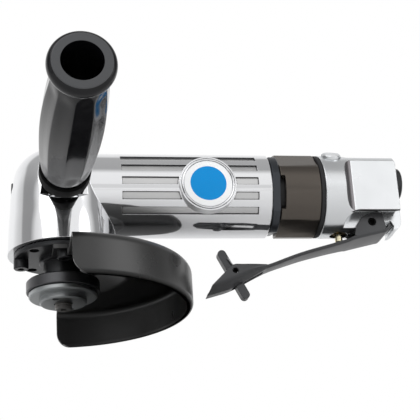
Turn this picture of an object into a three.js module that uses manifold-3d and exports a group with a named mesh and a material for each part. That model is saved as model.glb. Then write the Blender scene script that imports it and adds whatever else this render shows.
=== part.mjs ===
// Pneumatic angle grinder: cast head and barrel, vane motor, bevel gears, guard, throttle lever
// and side handle. Millimetres, +Z up. Inside the tool group the origin is where the spindle axis
// crosses the barrel axis: +X runs back to the air inlet, the side handle points along -Y.
import * as THREE from 'three';
import { mergeVertices } from 'three/addons/utils/BufferGeometryUtils.js';
import Module from 'manifold-3d';

const wasm = await Module();
wasm.setup();

// Driving dimensions of the whole tool
const barrelRadius = 24;
const barrelRear = 116.5;
const headRadius = 29.8;
const headTop = 24.3;
const headDepth = 35.2;
const guardRadius = 70.5;
const guardRim = 68.6;
const handleEnd = 161.5;
const valveHousingRear = 191;

// Clearances and workshop values
const fitGap = 0.3;
const cutOverrun = 3;
const weldDistance = 0.001;
const coarseSegments = 16;
const middleSegments = 24;
const fineSegments = 40;
const guardSegments = 56;
const hexSides = 6;
const smallHoleSides = 12;
const screenHoleSides = 8;

// Head: outline as shares of its radius and of its height above or below the barrel axis
const headOutlineShares = [
  [1, -1], [0.983, -0.625], [0.96, -0.341], [0.933, 0], [0.889, 0.329],
  [0.832, 0.576], [0.721, 0.782], [0.57, 0.926], [0.369, 0.988], [0, 1],
];
const headAxisRow = 3;
const headOutlinePoints = 11;
const headCavityRadius = 18.5;
const headCavityTop = 11.3;
const sideFlatOffset = 25.3;
const sideFlatBottom = 9;

// Barrel bore, bulkhead and the shallow grip recesses
const barrelWall = 4.4;
const motorBoreRadius = barrelRadius - barrelWall;
const motorBoreFront = 30;
const bulkheadFront = 19.5;
const shaftHoleRadius = 6.5;
const pinionPocketRadius = 11;
const barrelChamfer = 0.6;
const recessFront = 32;
const recessRear = 108.5;
const recessDepth = 0.9;
const recessHalfAngle = 5.25;
const recessPitchAngle = 20.5;
const recessMidAngle = 0.3;
const recessRowSteps = [2, 1, 0, -1, -2];
const recessMargin = 1;
const recessArcSteps = 3;

// Badge seat, disc and bezel on the near side of the barrel
const badgeStation = 79.5;
const badgeDrop = 2.3;
const badgeBossRadius = 16.8;
const badgeBossProud = 1.6;
const badgeBossFace = barrelRadius + badgeBossProud;
const badgeSeatDepth = 1.2;
const badgeBezelRadius = 14.8;
const badgeBezelWidth = 1;
const badgeBezelProud = 0.6;
const badgeDiscEdge = 0.9;
const badgeDiscCrown = 1.9;

// Threaded bosses for the side handle, one each side of the head
const handleBossEnd = 31.2;
const handleBossRadius = 8;
const handleBossRoot = 9.8;
const handleBossTaper = 2.2;
const handleHoleDepth = 7;
const holePlugSlotWidth = 1.5;
const holePlugSlotDepth = 1.6;
const studRadius = 4.9;
const studEnd = 74;

// Grease plug in the front of the head
const greasePlugHeight = 3;
const greasePlugRadius = 4.4;
const greasePlugLength = 7;
const greasePlugSocketRadius = 2;
const greasePlugSocketDepth = 2.5;

// Bearing cap under the head
const capFlangeRadius = 26.5;
const capFlangeThickness = 2.5;
const capSpigotHeight = 9.2;
const capPilotRadius = 12.7;
const capPilotHeight = 2.4;
const capNeckRadius = 10.4;
const capNeckEnd = 50;
const capHoleRadius = 2.7;
const screwCircle = 22.5;
const capScrewAngles = [180, 0, 90, -90];
const capHoleAngles = [45, 135, -45, -135];

// Cap screws
const screwRadius = 1.9;
const screwReach = 10;
const screwHeadRadius = 4.1;
const screwHeadHeight = 4.8;
const screwSocketRadius = 1.9;
const screwSocketDepth = 2.4;
const screwChamfer = 0.5;

// Wheel guard, pressed from sheet
const guardThickness = 1.8;
const guardLandOuter = 30;
const guardPlateInner = 36;
const guardPlateTop = 46;
const guardCornerRadius = 5;
const guardCornerSteps = 3;
const guardLipReach = 3.6;
const guardLipRadius = 2.2;
const guardEndStation = 0.4;
const guardEarReach = 6.5;
const guardEndRounding = 9;

// Spindle, gears and bearings in the head
const spindleEnd = 66.4;
const spindleThreadRadius = 4.75;
const spindleSeatRadius = 6;
const spindleShoulderRadius = 8.5;
const spindleUpperRadius = 5;
const spindleTopRadius = 4;
const spindleShoulderStation = 50.2;
const spindleSeatTop = -6;
const spindleCentreRadius = 1.6;
const spindleCentreDepth = 3;
const lowerBearingRadius = 16;
const lowerBearingWidth = 10;
const lowerBearingBottom = 36.5;
const upperBearingRadius = 11;
const upperBearingWidth = 6.9;
const bearingShieldInset = 0.5;
const bearingRimShare = 0.18;
const pinionTeeth = 12;
const gearTeeth = 20;
const pinionPitchRadius = 9;
const gearPitchRadius = 15;
const gearFaceWidth = 6;
const toothAddendum = 1.3;
const toothDedendum = 1.8;
const toothBacklash = 0.5;
const toothTipShare = 0.5;
const toothRootShare = 1.4;
const gearHubRadius = 9.5;
const gearHubBottom = 26.2;
const gearRimThickness = 4;
const pinionRimThickness = 1.6;
const pinionHubRadius = 5.8;
const keyWidth = 2.4;
const keyBottom = 24;
const keyTop = 15;
const keyInner = 4.6;
const keyOuter = 7.3;

// Wheel flanges
const innerFlangeRadius = 20;
const innerFlangeThickness = 6.5;
const innerFlangeRelief = 0.8;
const innerFlangeSeatWidth = 7;
const nutDiscRadius = 18.7;
const nutDiscThickness = 2.7;
const nutBossRadius = 12.8;
const nutBossHeight = 3.3;
const nutPinCircle = 10.2;
const nutPinRadius = 1.9;
const nutPinDepth = 4;
const flangeChamfer = 0.7;

// Vane motor
const linerWall = 2.8;
const rotorClearance = 1.9;
const linerEccentricity = 1.6;
const linerBoreRadius = motorBoreRadius - fitGap - linerWall;
const rotorRadius = linerBoreRadius - rotorClearance;
const linerLength = 52;
const endPlateThickness = 5.4;
const rearPlateThickness = 8.7;
const shaftRadius = 4;
const shaftShoulderRadius = 5.5;
const shaftFront = 10.6;
const rotorBearingRadius = 11;
const rotorBearingWidth = 6.7;
const frontBearingStation = 26.3;
const rearBearingRadius = 9;
const rearBearingWidth = 6;
const vaneCount = 5;
const vaneThickness = 1.4;
const vaneInner = 8;
const linerPortWidth = 3;
const linerPortLength = 7;
const linerPortPitch = 11;
const linerPortCount = 4;

// Rings between barrel and valve housing
const lockRingWidth = 4.4;
const lockRingFlatDepth = 2.5;
const lockRingAngle = -14.3;
const lockRingFlats = 4;
const sleeveWidth = 22.9;
const sleeveFlatDepth = 1.6;
const sleeveFlatAngle = 45.5;
const sleeveFlats = 3;
const exhaustSlotLength = 2.5;
const exhaustSlotHalfAngle = 23.5;
const exhaustSlotAngle = -14.3;
const exhaustSlots = 3;
const gasketWidth = 2.1;
const gasketInset = 0.2;

// Valve housing
const spigotWall = 3.8;
const spigotBoreRadius = motorBoreRadius - fitGap - spigotWall;
const spigotBoreRear = 140;
const blockSideDepth = 5.7;
const blockTopDepth = 5.6;
const blockHalfWidth = barrelRadius - blockSideDepth;
const blockTop = barrelRadius - blockTopDepth;
const blockFront = 165;
const blockRunOut = 6;
const rimChamfer = 0.7;
const earPocketInset = 8.8;
const earPocketTop = barrelRadius - earPocketInset;
const earPocketRise = 0.315;
const earPocketFront = 159;
const earPocketRounding = 9;
const tongueHalfWidth = 8.9;
const tongueInset = 0.5;
const tongueBottom = barrelRadius - tongueInset;
const tongueFront = 163.5;
const tongueTop = 9;
const tongueOverhang = 2.7;
const tongueRounding = 5;
const heelReliefFront = 178.8;
const heelReliefDepth = 2.5;
const heelReliefTop = tongueBottom - heelReliefDepth;
const heelNotchStation = 187.4;
const heelNotchDepth = 5.5;
const heelNotchTop = tongueBottom - heelNotchDepth;
const heelNotchRear = 189.2;

// Air inlet
const inletHeight = 7.8;
const inletBoreRadius = 5.8;
const inletPassageRadius = 5.5;
const inletThreadRadius = 8.2;
const inletThreadFront = 178.3;
const inletCollarRadius = 9.6;
const inletCollarLength = 6.2;
const inletFlatHalf = 8.7;
const inletChamfer = 0.8;
const screenThickness = 1;
const screenHoleRadius = 0.9;
const screenHoleCircle = 3.9;
const screenHoles = 8;

// Throttle valve
const valveStation = 158.2;
const valveBoreRadius = 5.2;
const valveBoreTop = 10;
const valveStemRadius = 2.2;
const valveStemReach = 5.2;
const springStepsPerTurn = 10;
const valveStemEnd = barrelRadius + valveStemReach;
const valveStemDomeShares = [[0, 0], [0.6, 0.2], [1, 0.7]];
const valveHeadRadius = 4.5;
const valveHeadBottom = 13.4;
const valveHeadTop = 9;
const valveBushingInset = 1.6;
const valveBushingEnd = barrelRadius - valveBushingInset;
const valveBushingTop = 14;
const valveOutletHeight = -6;
const valveOutletRadius = 3.6;
const springWire = 0.5;
const springCoilRadius = 3.9;
const springTurns = 5;

// Speed regulator, set square to the barrel on a slanted radius
const regulatorStation = 154.5;
const regulatorAngle = 55;
const regulatorDiscRadius = 5.5;
const regulatorProud = 1.6;
const regulatorFace = barrelRadius + regulatorProud;
const regulatorDiscThickness = 4.6;
const regulatorStemRadius = 3;
const regulatorStemEnd = 13.6;
const regulatorSlotWidth = 1.5;
const regulatorSlotDepth = 1.6;

// Throttle lever, pressed from plate: a wide heel, a narrow neck and a hollow nose. Stations and
// drops are shares of the length and drop from heel to tip
const leverHalfWidth = 11;
const leverThickness = 1.7;
const pivotStation = 175.7;
const pivotInset = 4.7;
const pivotDrop = barrelRadius - pivotInset;
const pivotPinRadius = 2.1;
const leverLength = 106.3;
const leverDrop = 37;
const leverHeelStation = 186.8;
const leverHeelInset = 3.2;
const leverHeelDrop = barrelRadius - leverHeelInset;
const leverUndersideShares = [
  [0, 0], [0.005, 0.059], [0.026, 0.114], [0.172, 0.214], [0.249, 0.273], [0.365, 0.359],
  [0.467, 0.438], [0.532, 0.497], [0.597, 0.562], [0.652, 0.619], [0.707, 0.676],
];
const leverWidthShares = [
  [-0.02, 1], [0.2, 1], [0.235, 0.87], [0.275, 0.79], [0.337, 0.72], [0.402, 0.69],
  [0.53, 0.64], [0.624, 0.56], [0.655, 0.55], [0.72, 0.62],
];
const rearEarShares = [
  [-1.02, -1.34], [-0.943, -0.689], [-0.83, -0.23], [-0.594, 0.311], [-0.311, 0.689],
  [0.028, 0.902], [0.274, 0.951], [0.566, 0.951], [0.632, 0.754], [0.67, 0.246], [0.764, -0.607],
];
const rearEarReach = 10.6;
const rearEarRise = 6.1;

// Sections of the nose: along, then [width, drop] of its rim, its bend and its keel
const noseSectionShares = [
  [0.69, [0.655, 0.608], [0.673, 0.632], [0.5, 0.657]],
  [0.76, [0.755, 0.611], [0.836, 0.697], [0.33, 0.768]],
  [0.821, [0.755, 0.611], [0.873, 0.765], [0.29, 0.865]],
  [0.875, [0.745, 0.619], [0.873, 0.835], [0.29, 0.941]],
  [0.918, [0.782, 0.73], [0.864, 0.881], [0.29, 0.989]],
  [0.995, [0.818, 0.949], [0.822, 0.962], [0.29, 1.065]],
];
const noseKeelLead = 2.2;
const noseHollowStart = 0.7;

// Safety lever that folds through the slot in the nose of the throttle lever
const safetyPinShare = [0.866, 0.716];
const safetyPinRadius = 1.4;
const safetyPinHalfLength = 9.3;
const safetyUpperReach = 15.5;
const safetyLowerReach = 15.9;
const safetyLean = 26.5;
const safetyWidth = 4.8;
const safetyHalfThickness = 2.5;
const safetySlotLead = 1.1;
const safetySlotRun = 1.4;
const safetyCoilRadius = 2.5;
const safetyWire = 0.45;
const safetyCoilPitch = 1.15;
const safetyCoilTurns = 2;
const safetyCoilSteps = 30;
const safetyLegReach = 9.5;

// Side handle
const collarThickness = 5.5;
const collarRadius = 14;
const collarRim = 0.8;
const gripRadius = 16.6;
const gripOutlineShares = [
  [0, 0.77], [0.022, 0.795], [0.09, 0.855], [0.18, 0.915], [0.38, 0.988], [0.545, 1], [0.705, 0.952],
  [0.865, 0.845], [0.915, 0.81], [0.932, 0.9], [0.948, 0.965], [0.968, 0.982], [0.988, 0.94], [1, 0.83],
];
const gripFlutes = 10;
const gripFluteDepth = 0.55;
const gripFluteStartShare = 0.06;
const gripFluteEndShare = 0.88;
const gripPointsPerFlute = 4;
const gripHoleRadius = 10;
const gripHoleDepth = 38;

// Places that follow from the sizes above
const deg = Math.PI / 180;
const axisX = new THREE.Vector3(1, 0, 0);
const axisY = new THREE.Vector3(0, 1, 0);
const axisZ = new THREE.Vector3(0, 0, 1);
const nearSide = new THREE.Vector3(0, -1, 0);
const frontward = new THREE.Vector3(-1, 0, 0);
const lockRingFront = barrelRear + fitGap;
const sleeveFront = lockRingFront + lockRingWidth + fitGap;
const gasketFront = sleeveFront + sleeveWidth + fitGap;
const shoulderStation = gasketFront + gasketWidth + fitGap;
const spigotRadius = motorBoreRadius - fitGap;
const frontPlateStation = motorBoreFront + fitGap;
const linerStation = frontPlateStation + endPlateThickness + fitGap;
const rearPlateStation = linerStation + linerLength + fitGap;
const spigotFront = rearPlateStation + rearPlateThickness + fitGap;
const rearBearingStation = rearPlateStation + rearPlateThickness - rearBearingWidth;
const rotorFront = linerStation + fitGap;
const rotorRear = linerStation + linerLength - fitGap;
const upperBearingBottom = headCavityTop + fitGap;
const capTop = headDepth + fitGap;
const capBottom = capTop + capFlangeThickness;
const capSpigotTop = capTop - capSpigotHeight;
const guardLandTop = capBottom + fitGap;
const innerFlangeTop = spindleShoulderStation + fitGap;
const innerFlangeBottom = innerFlangeTop + innerFlangeThickness;
const nutTop = innerFlangeBottom + fitGap;
const badgeSeat = badgeBossFace - badgeSeatDepth;
const collarStart = handleBossEnd + fitGap;
const gripStart = collarStart + collarThickness + fitGap;
const inletEnd = valveHousingRear + fitGap + inletCollarLength;

// Turns a geometry into a closed solid that can be joined and cut
function toSolid(geometry) {
  const bare = geometry.clone();
  bare.deleteAttribute('normal');
  bare.deleteAttribute('uv');
  const merged = mergeVertices(bare, weldDistance);
  const points = new Float32Array(merged.attributes.position.array);
  const corners = withoutSlivers(merged.index.array);
  const facing = signedVolume(points, corners) < 0 ? turnedOver(corners) : corners;
  const triVerts = new Uint32Array(facing);
  return new wasm.Manifold(new wasm.Mesh({ numProp: 3, vertProperties: points, triVerts }));
}

// Leaves out triangles whose corners fell together where an outline meets its axis
function withoutSlivers(indices) {
  const kept = [];
  for (let i = 0; i < indices.length; i += 3) {
    const [a, b, c] = [indices[i], indices[i + 1], indices[i + 2]];
    if (a !== b && b !== c && c !== a) kept.push(a, b, c);
  }
  return kept;
}

function turnedOver(corners) {
  const turned = [];
  for (let i = 0; i < corners.length; i += 3) {
    turned.push(corners[i], corners[i + 2], corners[i + 1]);
  }
  return turned;
}

function signedVolume(points, corners) {
  const [a, b, c] = [new THREE.Vector3(), new THREE.Vector3(), new THREE.Vector3()];
  let volume = 0;
  for (let i = 0; i < corners.length; i += 3) {
    a.fromArray(points, corners[i] * 3);
    b.fromArray(points, corners[i + 1] * 3);
    c.fromArray(points, corners[i + 2] * 3);
    volume += a.dot(b.cross(c)) / 6;
  }
  return volume;
}

function toGeometry(solid) {
  const { vertProperties, triVerts } = solid.getMesh();
  const geometry = new THREE.BufferGeometry();
  geometry.setAttribute('position', new THREE.BufferAttribute(new Float32Array(vertProperties), 3));
  geometry.setIndex(new THREE.BufferAttribute(new Uint32Array(triVerts), 1));
  return geometry;
}

function join(...pieces) {
  return toGeometry(pieces.map(toSolid).reduce((sum, piece) => sum.add(piece)));
}

function cut(base, ...tools) {
  return toGeometry(tools.reduce((rest, tool) => rest.subtract(toSolid(tool)), toSolid(base)));
}

function common(first, second) {
  return toGeometry(toSolid(first).intersect(toSolid(second)));
}

// Solid of revolution from [radius, station] pairs, stations measured along the axis
function revolve(outline, axis, segments = coarseSegments) {
  const last = outline[outline.length - 1];
  const onAxis = outline[0][0] === 0 && last[0] === 0;
  const loop = onAxis ? outline : [...outline, outline[0]];
  const points = loop.map(([radius, station]) => new THREE.Vector2(radius, station));
  const turn = new THREE.Quaternion().setFromUnitVectors(axisY, axis);
  return new THREE.LatheGeometry(points, segments).applyQuaternion(turn);
}

function rod(radius, from, to, axis, segments = coarseSegments) {
  return revolve([[0, from], [radius, from], [radius, to], [0, to]], axis, segments);
}

function ring(inner, outer, from, to, axis, segments = coarseSegments) {
  return revolve([[inner, from], [outer, from], [outer, to], [inner, to]], axis, segments);
}

function flatShape(outline) {
  return new THREE.Shape(outline.map(([u, v]) => new THREE.Vector2(u, v)));
}

// Extrusions: outline in (y, z) along X, in (x, z) along Y, in (x, y) along Z
function prism(shape, axis, from, to, curveSegments = 6) {
  const depth = to - from;
  const geometry = new THREE.ExtrudeGeometry(shape, { depth, bevelEnabled: false, curveSegments });
  const basis = new THREE.Matrix4();
  if (axis === axisX) basis.makeBasis(axisY, axisZ, axisX);
  if (axis === axisY) basis.makeBasis(axisX, axisZ, axisY);
  return geometry.applyMatrix4(basis).translate(axis.x * from, axis.y * from, axis.z * from);
}

function block(low, high) {
  const size = high.map((value, i) => value - low[i]);
  const middle = high.map((value, i) => (value + low[i]) / 2);
  return new THREE.BoxGeometry(...size).translate(...middle);
}

// Direction square to the barrel: 0 is the near side, positive angles go up
function aroundBarrel(angle) {
  return new THREE.Vector3(0, -Math.cos(angle * deg), Math.sin(angle * deg));
}

// Turns a piece made for the near side round the barrel axis
function turnedUp(geometry, angle) {
  return geometry.rotateX(-angle * deg);
}

// Band between two radii over an angle each side of the near direction, along the barrel
function barrelSector(inner, outer, halfAngle, from, to) {
  const shape = new THREE.Shape();
  const middle = Math.PI;
  shape.absarc(0, 0, outer, middle - halfAngle * deg, middle + halfAngle * deg, false);
  shape.absarc(0, 0, inner, middle + halfAngle * deg, middle - halfAngle * deg, true);
  return prism(shape, axisX, from, to, recessArcSteps);
}

// Offsets an open path to one side and closes it into a strip of even thickness
function stripOutline(path, thickness) {
  return [...path, ...path.map((point, i) => offsetPoint(path, i, thickness)).reverse()];
}

function offsetPoint(path, i, distance) {
  const here = new THREE.Vector2(...path[i]);
  const before = new THREE.Vector2(...path[Math.max(i - 1, 0)]);
  const after = new THREE.Vector2(...path[Math.min(i + 1, path.length - 1)]);
  const into = i === 0 ? after.clone().sub(here) : here.clone().sub(before);
  const out = i === path.length - 1 ? into.clone() : after.clone().sub(here);
  const [inNormal, outNormal] = [into, out].map((run) => new THREE.Vector2(-run.y, run.x).normalize());
  const mitre = inNormal.clone().add(outNormal).normalize();
  const reach = distance / mitre.dot(outNormal);
  return [here.x + mitre.x * reach, here.y + mitre.y * reach];
}

// Quarter or half turn of a rounded corner, as points
function arcPoints(u, v, radius, fromAngle, toAngle, steps) {
  return Array.from({ length: steps + 1 }, (_, i) => {
    const angle = (fromAngle + (toAngle - fromAngle) * i / steps) * deg;
    return [u + radius * Math.cos(angle), v + radius * Math.sin(angle)];
  });
}

// Closes rings of points, each with as many points, into a ring-shaped solid
function loftLoop(rings) {
  const count = rings[0].length;
  const positions = rings.flat().flatMap((point) => [point.x, point.y, point.z]);
  const corners = [];
  rings.forEach((_, k) => {
    const next = (k + 1) % rings.length;
    for (let i = 0; i < count; i += 1) {
      const j = (i + 1) % count;
      const [a, b, c, d] = [k * count + i, k * count + j, next * count + j, next * count + i];
      corners.push(a, b, c, a, c, d);
    }
  });
  const geometry = new THREE.BufferGeometry();
  geometry.setAttribute('position', new THREE.Float32BufferAttribute(positions, 3));
  geometry.setIndex(corners);
  return geometry;
}

// Tube of round wire along a curve, closed at both ends
function wire(curve, radius, steps, sides = 6) {
  const section = new THREE.Shape();
  section.absarc(0, 0, radius, 0, 2 * Math.PI, false);
  const settings = { steps, extrudePath: curve, curveSegments: sides };
  return new THREE.ExtrudeGeometry(section, settings);
}

class Helix extends THREE.Curve {
  constructor(radius, height, turns) {
    super();
    Object.assign(this, { radius, height, turns });
  }

  getPoint(t, target = new THREE.Vector3()) {
    const angle = 2 * Math.PI * this.turns * t;
    return target.set(this.radius * Math.cos(angle), this.radius * Math.sin(angle), this.height * t);
  }
}

// Cast housing: bell-shaped head and round barrel in one piece
function headOutline() {
  const scaled = headOutlineShares.map(([radiusShare, heightShare]) => {
    const height = heightShare < 0 ? headDepth : headTop;
    return new THREE.Vector2(radiusShare * headRadius, heightShare * height);
  });
  const smooth = new THREE.SplineCurve(scaled).getPoints(headOutlinePoints);
  return [[0, -headDepth], ...smooth.map((point) => [Math.max(point.x, 0), point.y])];
}

function head() {
  return revolve(headOutline(), axisZ, fineSegments);
}

function barrel() {
  const rear = barrelRear;
  const edge = [[barrelRadius, rear - barrelChamfer], [barrelRadius - barrelChamfer, rear]];
  return revolve([[0, 0], [barrelRadius, 0], ...edge, [0, rear]], axisX, fineSegments);
}

function handleBoss(direction) {
  const outline = [
    [0, headCavityRadius - cutOverrun], [handleBossRoot, headCavityRadius - cutOverrun],
    [handleBossRoot, sideFlatOffset], [handleBossRadius, sideFlatOffset + handleBossTaper],
    [handleBossRadius, handleBossEnd], [0, handleBossEnd],
  ];
  return revolve(outline, direction);
}

function sideFlatTool() {
  const outer = headRadius + cutOverrun;
  const slope = outer - sideFlatOffset;
  const top = headTop + cutOverrun;
  const shape = flatShape([
    [-sideFlatOffset, -sideFlatBottom], [-sideFlatOffset, top],
    [-outer, top], [-outer, -sideFlatBottom - slope],
  ]);
  return prism(shape, axisX, -headRadius, headRadius);
}

// Each recess row runs along the barrel; the middle rows stop short of the badge seat
function recessTools(row, badged) {
  const angle = recessMidAngle + row * recessPitchAngle;
  const offset = barrelRadius * Math.sin(angle * deg) + badgeDrop;
  const inner = barrelRadius - recessDepth;
  const outer = barrelRadius + cutOverrun;
  const band = (from, to) => turnedUp(barrelSector(inner, outer, recessHalfAngle, from, to), angle);
  if (!badged || Math.abs(row) > 1) return [band(recessFront, recessRear)];
  const reach = Math.sqrt(badgeBossRadius ** 2 - offset ** 2) + recessMargin;
  return [band(recessFront, badgeStation - reach), band(badgeStation + reach, recessRear)];
}

function badgeBoss() {
  const boss = rod(badgeBossRadius, motorBoreRadius, badgeBossFace, nearSide, middleSegments);
  return boss.translate(badgeStation, 0, -badgeDrop);
}

function badgeSeatTool() {
  const radius = badgeBezelRadius + fitGap;
  const tool = rod(radius, badgeSeat, badgeBossFace + cutOverrun, nearSide, middleSegments);
  return tool.translate(badgeStation, 0, -badgeDrop);
}

function motorBores() {
  const bearingPocket = rotorBearingRadius + fitGap;
  return [
    rod(motorBoreRadius, motorBoreFront, barrelRear + cutOverrun, axisX, fineSegments),
    rod(bearingPocket, frontBearingStation - fitGap, motorBoreFront + cutOverrun, axisX, middleSegments),
    rod(shaftHoleRadius, bulkheadFront - cutOverrun, motorBoreFront, axisX),
    rod(pinionPocketRadius, shaftFront, bulkheadFront, axisX, middleSegments),
  ];
}

function headBores() {
  const pocketTop = upperBearingBottom + upperBearingWidth + fitGap;
  return [
    rod(headCavityRadius, -headDepth - cutOverrun, headCavityTop, axisZ, middleSegments),
    rod(upperBearingRadius + fitGap, 0, pocketTop, axisZ, middleSegments),
  ];
}

function handleHole(direction) {
  const radius = studRadius + fitGap;
  return rod(radius, handleBossEnd - handleHoleDepth, handleBossEnd + cutOverrun, direction);
}

function screwHoles(bottom, top, radius, angles = capScrewAngles) {
  return angles.map((angle) => {
    const tool = rod(radius, bottom, top, axisZ).translate(screwCircle, 0, 0);
    return tool.rotateZ(angle * deg);
  });
}

function greasePlugHole() {
  const bottom = headRadius - greasePlugLength - fitGap - greasePlugInset();
  return rod(greasePlugRadius + fitGap, bottom, headRadius, frontward).translate(0, 0, greasePlugHeight);
}

// The head narrows upwards, so the plug's face lies this far inside the rim radius
function greasePlugInset() {
  const [axisRadiusShare] = headOutlineShares[headAxisRow];
  return headRadius * (1 - axisRadiusShare) + fitGap;
}

function housing() {
  const screwTop = screwReach + fitGap - headDepth;
  const rows = recessRowSteps.flatMap((row) => {
    const far = recessTools(row, false).map((tool) => tool.scale(1, -1, 1));
    return [...recessTools(row, true), ...far];
  });
  const grooved = cut(barrel(), ...rows);
  const flatHead = cut(head(), sideFlatTool(), sideFlatTool().scale(1, -1, 1));
  const body = join(flatHead, grooved, handleBoss(nearSide), handleBoss(axisY), badgeBoss());
  const bores = [...motorBores(), ...headBores(), handleHole(nearSide), handleHole(axisY)];
  const screws = screwHoles(-headDepth - cutOverrun, screwTop, screwRadius + fitGap);
  return cut(body, ...bores, ...screws, badgeSeatTool(), greasePlugHole());
}

function badgeDisc() {
  const radius = badgeBezelRadius - badgeBezelWidth - fitGap;
  const base = badgeSeat + fitGap;
  const dome = arcOverDisc(radius, base + badgeDiscEdge, badgeDiscCrown - badgeDiscEdge);
  const disc = revolve([[0, base], [radius, base], ...dome], nearSide, middleSegments);
  return disc.translate(badgeStation, 0, -badgeDrop);
}

// Points of a shallow dome from its rim to the axis
function arcOverDisc(radius, rimStation, crown) {
  const steps = 5;
  return Array.from({ length: steps + 1 }, (_, i) => {
    const share = 1 - i / steps;
    return [radius * share, rimStation + crown * (1 - share * share)];
  });
}

function badgeBezel() {
  const base = badgeSeat + fitGap;
  const face = badgeBossFace + badgeBezelProud;
  const inner = badgeBezelRadius - badgeBezelWidth;
  const outline = [
    [inner, base], [badgeBezelRadius, base], [badgeBezelRadius, badgeBossFace],
    [badgeBezelRadius - badgeBezelWidth / 3, face], [inner, face - badgeBezelProud / 2],
  ];
  return revolve(outline, nearSide, middleSegments).translate(badgeStation, 0, -badgeDrop);
}

// Plugs and cap screws
function greasePlug() {
  const face = headRadius - greasePlugInset();
  const plug = rod(greasePlugRadius, face - greasePlugLength, face, frontward);
  const depth = greasePlugSocketDepth;
  const socket = rod(greasePlugSocketRadius, face - depth, face + cutOverrun, frontward, hexSides);
  return cut(plug, socket).translate(0, 0, greasePlugHeight);
}

function handleHolePlug() {
  const plug = rod(studRadius, handleBossEnd - handleHoleDepth + fitGap, handleBossEnd - fitGap, axisY);
  const slot = handleBossEnd - holePlugSlotDepth;
  const wide = studRadius + cutOverrun;
  const half = holePlugSlotWidth / 2;
  return cut(plug, block([-wide, slot, -half], [wide, handleBossEnd + cutOverrun, half]));
}

// Screw hangs from the underside of its head, which lies at the local origin
function capScrew(reach) {
  const bottom = -screwHeadHeight;
  const outline = [
    [0, bottom], [screwHeadRadius - screwChamfer, bottom], [screwHeadRadius, bottom + screwChamfer],
    [screwHeadRadius, 0], [screwRadius, 0], [screwRadius, reach - screwChamfer],
    [screwRadius - screwChamfer, reach], [0, reach],
  ];
  const socketTop = bottom + screwSocketDepth;
  const socket = rod(screwSocketRadius, bottom - cutOverrun, socketTop, axisZ, hexSides);
  return cut(revolve(outline, axisZ), socket);
}

// Bearing cap: flange, spigot inside the head, seat for the lower bearing and neck
function bearingCap() {
  const seat = lowerBearingRadius + fitGap;
  const seatFloor = -lowerBearingBottom - fitGap;
  const bore = spindleShoulderRadius + fitGap;
  const spigot = headCavityRadius - fitGap;
  const outline = [
    [bore, -capNeckEnd], [capNeckRadius, -capNeckEnd], [capNeckRadius, -capBottom - capPilotHeight],
    [capPilotRadius, -capBottom - capPilotHeight], [capPilotRadius, -capBottom],
    [capFlangeRadius, -capBottom], [capFlangeRadius, -capTop], [spigot, -capTop],
    [spigot, -capSpigotTop], [seat, -capSpigotTop], [seat, seatFloor], [bore, seatFloor],
  ];
  const cap = revolve(outline, axisZ, middleSegments);
  const [low, high] = [-capBottom - cutOverrun, -capTop + cutOverrun];
  const screws = screwHoles(low, high, screwRadius + fitGap);
  const holes = screwHoles(low, high, capHoleRadius, capHoleAngles);
  return cut(cap, ...screws, ...holes);
}

// Wheel guard: bolted land, sloping step, flat plate, round skirt and rolled lip
function guardPath() {
  const top = -guardLandTop;
  const skirt = guardRadius;
  const corner = [skirt - guardCornerRadius, -guardPlateTop - guardCornerRadius];
  const lip = [skirt - guardLipRadius, guardLipRadius - guardRim];
  return [
    [capPilotRadius + fitGap, top], [guardLandOuter, top],
    [guardPlateInner, -guardPlateTop],
    ...arcPoints(...corner, guardCornerRadius, 90, 0, guardCornerSteps),
    ...arcPoints(...lip, guardLipRadius, 0, -90, 2),
    [skirt - guardLipReach, -guardRim],
  ];
}

function guardCornerTool(side) {
  const low = -guardRim - cutOverrun;
  const front = -cutOverrun - guardEarReach;
  const centre = [guardEndStation + guardEndRounding, guardEndRounding - guardRim];
  const arc = arcPoints(...centre, guardEndRounding, 180, 270, 6);
  const shape = flatShape([[front, centre[1]], ...arc, [centre[0], low], [front, low]]);
  const near = guardRadius / 2;
  const far = guardRadius + cutOverrun;
  return side > 0 ? prism(shape, axisY, near, far) : prism(shape, axisY, -far, -near);
}

function guard() {
  const outline = stripOutline(guardPath(), -guardThickness);
  const whole = revolve(outline, axisZ, guardSegments);
  const wide = guardRadius + cutOverrun;
  const low = -guardRim - cutOverrun;
  const skirtSide = block([guardEndStation, -wide, low], [wide, wide, 0]);
  const landSide = block([-guardEarReach, -guardLandOuter, low], [wide, guardLandOuter, 0]);
  const landDisc = rod(guardLandOuter, low, 0, axisZ, middleSegments);
  const half = join(skirtSide, common(landSide, landDisc));
  const kept = common(whole, half);
  const holeTop = cutOverrun - guardLandTop;
  const holeBottom = -guardLandTop - guardThickness - cutOverrun;
  const holes = screwHoles(holeBottom, holeTop, screwRadius + fitGap, capScrewAngles.slice(1));
  return cut(kept, guardCornerTool(1), guardCornerTool(-1), ...holes);
}

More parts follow.
